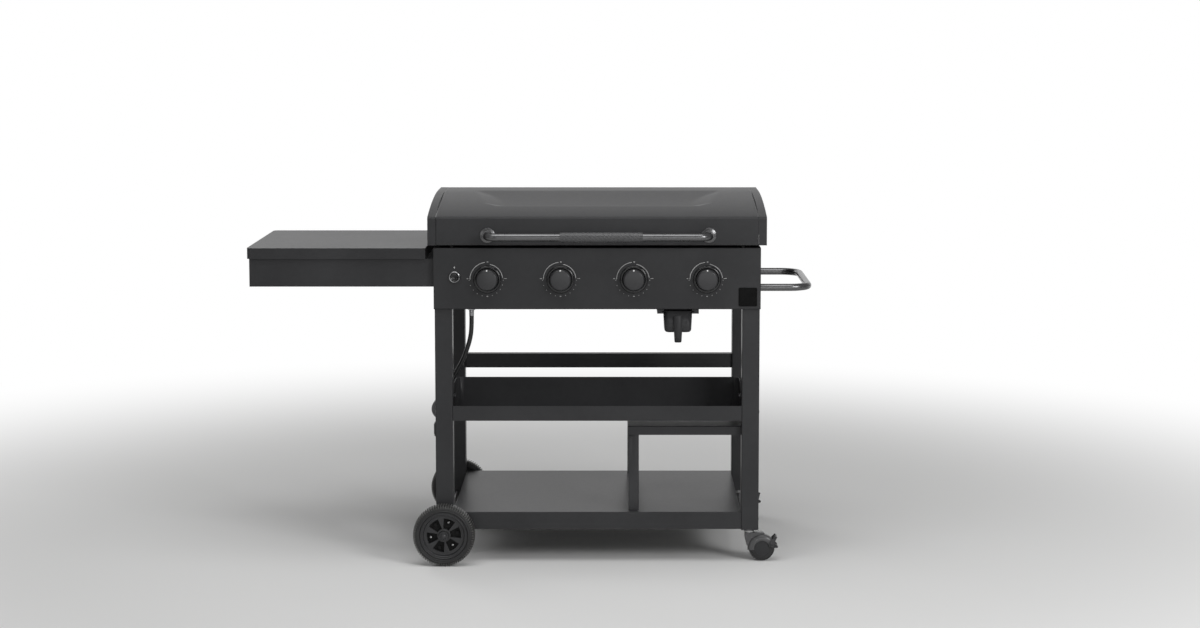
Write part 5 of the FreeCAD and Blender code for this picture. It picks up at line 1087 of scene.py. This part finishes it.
grip_plastic = powder_coat("grip_plastic", (0.060, 0.060, 0.062), 0.26, 0.00003, shine=0.5)
close_piece("grip_sleeve", grip, "lid_handle_grip", grip_plastic, ("lid_handle_grip",), even=False)


# Lid hinges. Folded steel ears screwed to the back panel, pins through them, and knuckled leaves
# riveted inside the lid's back edge.
eased_copy("hinge_bases", frame_paint, fold=0, rim=0.0004)
eased_copy("hinge_leaves", lid_paint, fold=0, rim=0.0004)
base_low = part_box("hinge_bases")[0]
leaf_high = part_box("hinge_leaves")[1]
HINGE_X = 0.330
HINGE_SHEET = 0.0032
base_screws = []
leaf_rivets = []
for side in (-1, 1):
    for across in (-0.016, 0.016):
        x = cart_x + side * HINGE_X + across
        base_spot = Vector((x, rear_high.y + HINGE_SHEET, base_low.z + 0.009))
        leaf_spot = Vector((x, cart_y - lid_front + HINGE_SHEET, leaf_high.z - 0.010))
        base_screws.append(screw(base_spot, (0, 1, 0), 0.0036))
        leaf_rivets.append(screw(leaf_spot, (0, 1, 0), 0.0036))
close_piece("hinge_screws", gather(base_screws), "hinge_bases", bolt_steel)
close_piece("hinge_rivets", gather(leaf_rivets), "hinge_leaves", bolt_steel)


# Side shelf. A folded steel top with rounded outer corners on a welded apron, bolted to the left
# side panel, with an inner ledge that closes the gap to the body.
shelf_paint = powder_coat("shelf_paint", (0.034, 0.0342, 0.0358), 0.38)
eased_copy("side_shelf_top", shelf_paint, fold=0.0030)
eased_copy("side_shelf_apron", shelf_paint, fold=0.0012)
apron_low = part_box("side_shelf_apron")[0]
shelf_screws = []
for y in (-0.24, -0.03, 0.18):
    shelf_screws.append(screw(Vector((apron_low.x, cart_y + y, apron_low.z + 0.040)), (-1, 0, 0)))
close_piece("shelf_screws", gather(shelf_screws), "side_shelf_apron", bolt_steel)


# Push handle. One bent tube in gloss-black paint between two round flanges on the right side
# panel, each flange held by three screws.
push_low, push_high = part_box("push_handle")
PUSH_R = 0.0105
push_z = (push_low.z + push_high.z) / 2
near = push_low.y + PUSH_R
far = push_high.y - PUSH_R
outer = push_high.x - PUSH_R
corners = [(push_low.x, near), (outer, near), (outer, far), (push_low.x, far)]
tube = bent_tube(PUSH_R, corners, push_z, 0.058, steps=20)
close_piece("push_tube", tube, "push_handle", handle_paint, ("push_handle",), smooth=30, even=False)
flange_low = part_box("handle_flanges")[0]
FLANGE_OUTLINE = mm(
    (0, 0), (22, 0), (22, 1.6), (21.4, 2.6), (20, 3), (15, 3.1), (13.5, 4.6), (12.2, 5), (10.8, 5),
    (10.7, 2), (0, 2),
)
FLANGE_RING = 0.0176
flanges = []
flange_screws = []
for y in (near, far):
    centre = Vector((flange_low.x, y, push_z))
    flanges.append(lathe(FLANGE_OUTLINE, centre, (1, 0, 0), steps=72))
    for angle in (90, 210, 330):
        bearing = math.radians(angle)
        spot = Vector((0.003, FLANGE_RING * math.cos(bearing), FLANGE_RING * math.sin(bearing)))
        flange_screws.append(screw(centre + spot, (1, 0, 0), 0.0026))
close_piece("push_flanges", gather(flanges), "handle_flanges", handle_paint, ("handle_flanges",), smooth=30)
close_piece("flange_screws", gather(flange_screws), "handle_flanges", bolt_steel)


# Gas hose. Black rubber hose that leaves the pipe's ferrule straight down, swings left behind the
# front leg, and ends in the regulator's port.
hose_rubber = two_tone(
    "hose_rubber", 900, (0.006, 0.006, 0.006), (0.014, 0.014, 0.015), (0.30, 0.46), detail=3,
    places=(0.3, 0.8), relief=0.0001,
)

HOSE_POINTS = [
    (-0.361, -0.262, 0.715),
    (-0.361, -0.262, 0.681),
    (-0.366, -0.253, 0.647),
    (-0.376, -0.246, 0.615),
    (-0.388, -0.238, 0.583),
    (-0.403, -0.231, 0.556),
    (-0.4155, -0.2265, 0.5335),
    (-0.42920, -0.22275, 0.51289),
    (-0.43774, -0.22275, 0.48102),
]
hose_curve = bpy.data.curves.new("gas_hose", "CURVE")
hose_curve.dimensions = "3D"
hose_curve.bevel_depth = 0.0065
hose_curve.bevel_resolution = 8
hose_curve.resolution_u = 16
spline = hose_curve.splines.new("NURBS")
spline.points.add(len(HOSE_POINTS) - 1)
for point, place in zip(spline.points, HOSE_POINTS):
    point.co = (*at(*place), 1)
spline.order_u = 3
spline.use_endpoint_u = True
hose_curve.materials.append(hose_rubber.material)
hose = in_scene("gas_hose_line", hose_curve)
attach(hose, "cart")
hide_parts("gas_hose")


# Hose fittings. A crimped ferrule and union nut at the pipe, and at the other end a cast
# regulator with a domed cap, a vent, and a plastic hand nut with grip ribs.
fitting_grey = two_tone(
    "fitting_grey", 180, (0.30, 0.30, 0.31), (0.46, 0.46, 0.47), (0.25, 0.4), Metallic=1.0,
)
ferrule_low, ferrule_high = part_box("hose_ferrule")
exit_spot = at(*HOSE_POINTS[0])
ferrule_tall = ferrule_high.z - ferrule_low.z
FERRULE_OUTLINE = mm(
    (0, 0), (6.6, 0), (7.2, 0.6), (7.2, 2.8), (6.7, 3.5), (6.7, 5), (7.2, 5.6), (7.2, 8), (6.7, 8.7),
    (6.7, 10.2), (7.2, 10.8), (7.2, 15), (6.4, 16.5), (0, 16.5),
)
ferrule = lathe(FERRULE_OUTLINE, exit_spot, (0, 0, 1), steps=40)
union_low = ferrule_low.z + 0.0168
UNION_OUTLINE = [
    (0, 0), (0.0100, 0), (0.0109, 0.0010), (0.0109, ferrule_tall - 0.0178), (0.0100, ferrule_tall - 0.0168),
    (0, ferrule_tall - 0.0168),
]
union = lathe(UNION_OUTLINE, (exit_spot.x, exit_spot.y, union_low), (0, 0, 1), steps=6)
shape = gather([ferrule, union])
ferrule_piece = close_piece(
    "ferrule_and_union", shape, "hose_ferrule", fitting_grey, ("hose_ferrule",), smooth=28,
)
regulator_paint = powder_coat("regulator_paint", (0.12, 0.12, 0.125), 0.4)
regulator_piece = eased_copy("regulator_body", regulator_paint, fold=0, rim=0.0005)
reg_centre = at(-0.449, -0.22275, 0.439)
CAP_OUTLINE = mm(
    (0, 16.8), (9, 16.8), (9.5, 16.2), (16.5, 16.2), (17.2, 16.9), (21.5, 16.9), (22.2, 15), (0, 15),
)
caps = gather([lathe(CAP_OUTLINE, reg_centre, (0, way, 0), steps=56) for way in (-1, 1)])
cap_piece = close_piece("regulator_caps", caps, "regulator_body", fitting_grey, smooth=30)
nut_low, nut_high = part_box("tank_nut")
nut_tall = nut_high.z - nut_low.z
nut_mid = (nut_low + nut_high) / 2
NUT_OUTLINE = [
    (0.0109, 0), (0.0148, 0), (0.0158, 0.0010), (0.0160, 0.0050), (0.0160, nut_tall - 0.006),
    (0.0148, nut_tall - 0.001), (0.0136, nut_tall), (0, nut_tall), (0, 0.016), (0.0109, 0.016),
]
NUT_RIBS = 20
RIB_RING = 0.01575
nut_parts = [lathe(NUT_OUTLINE, (nut_mid.x, nut_mid.y, nut_low.z), steps=56)]
for step in range(NUT_RIBS):
    bearing = math.tau * step / NUT_RIBS
    rib = bmesh.new()
    bmesh.ops.create_cube(rib, size=1)
    bmesh.ops.scale(rib, vec=(0.0024, 0.0022, nut_tall - 0.012), verts=rib.verts)
    ease(rib, rib.edges[:], 0.0006)
    outward = Matrix.Rotation(bearing, 4, "Z") @ Matrix.Translation((RIB_RING, 0, 0))
    rib.transform(Matrix.Translation(nut_mid) @ outward)
    nut_parts.append(rib)
nut_piece = close_piece("hand_nut", gather(nut_parts), "tank_nut", plastic, ("tank_nut",), smooth=30)

corners = [[list(corner) for corner in box] for box in (cad_box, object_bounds())]
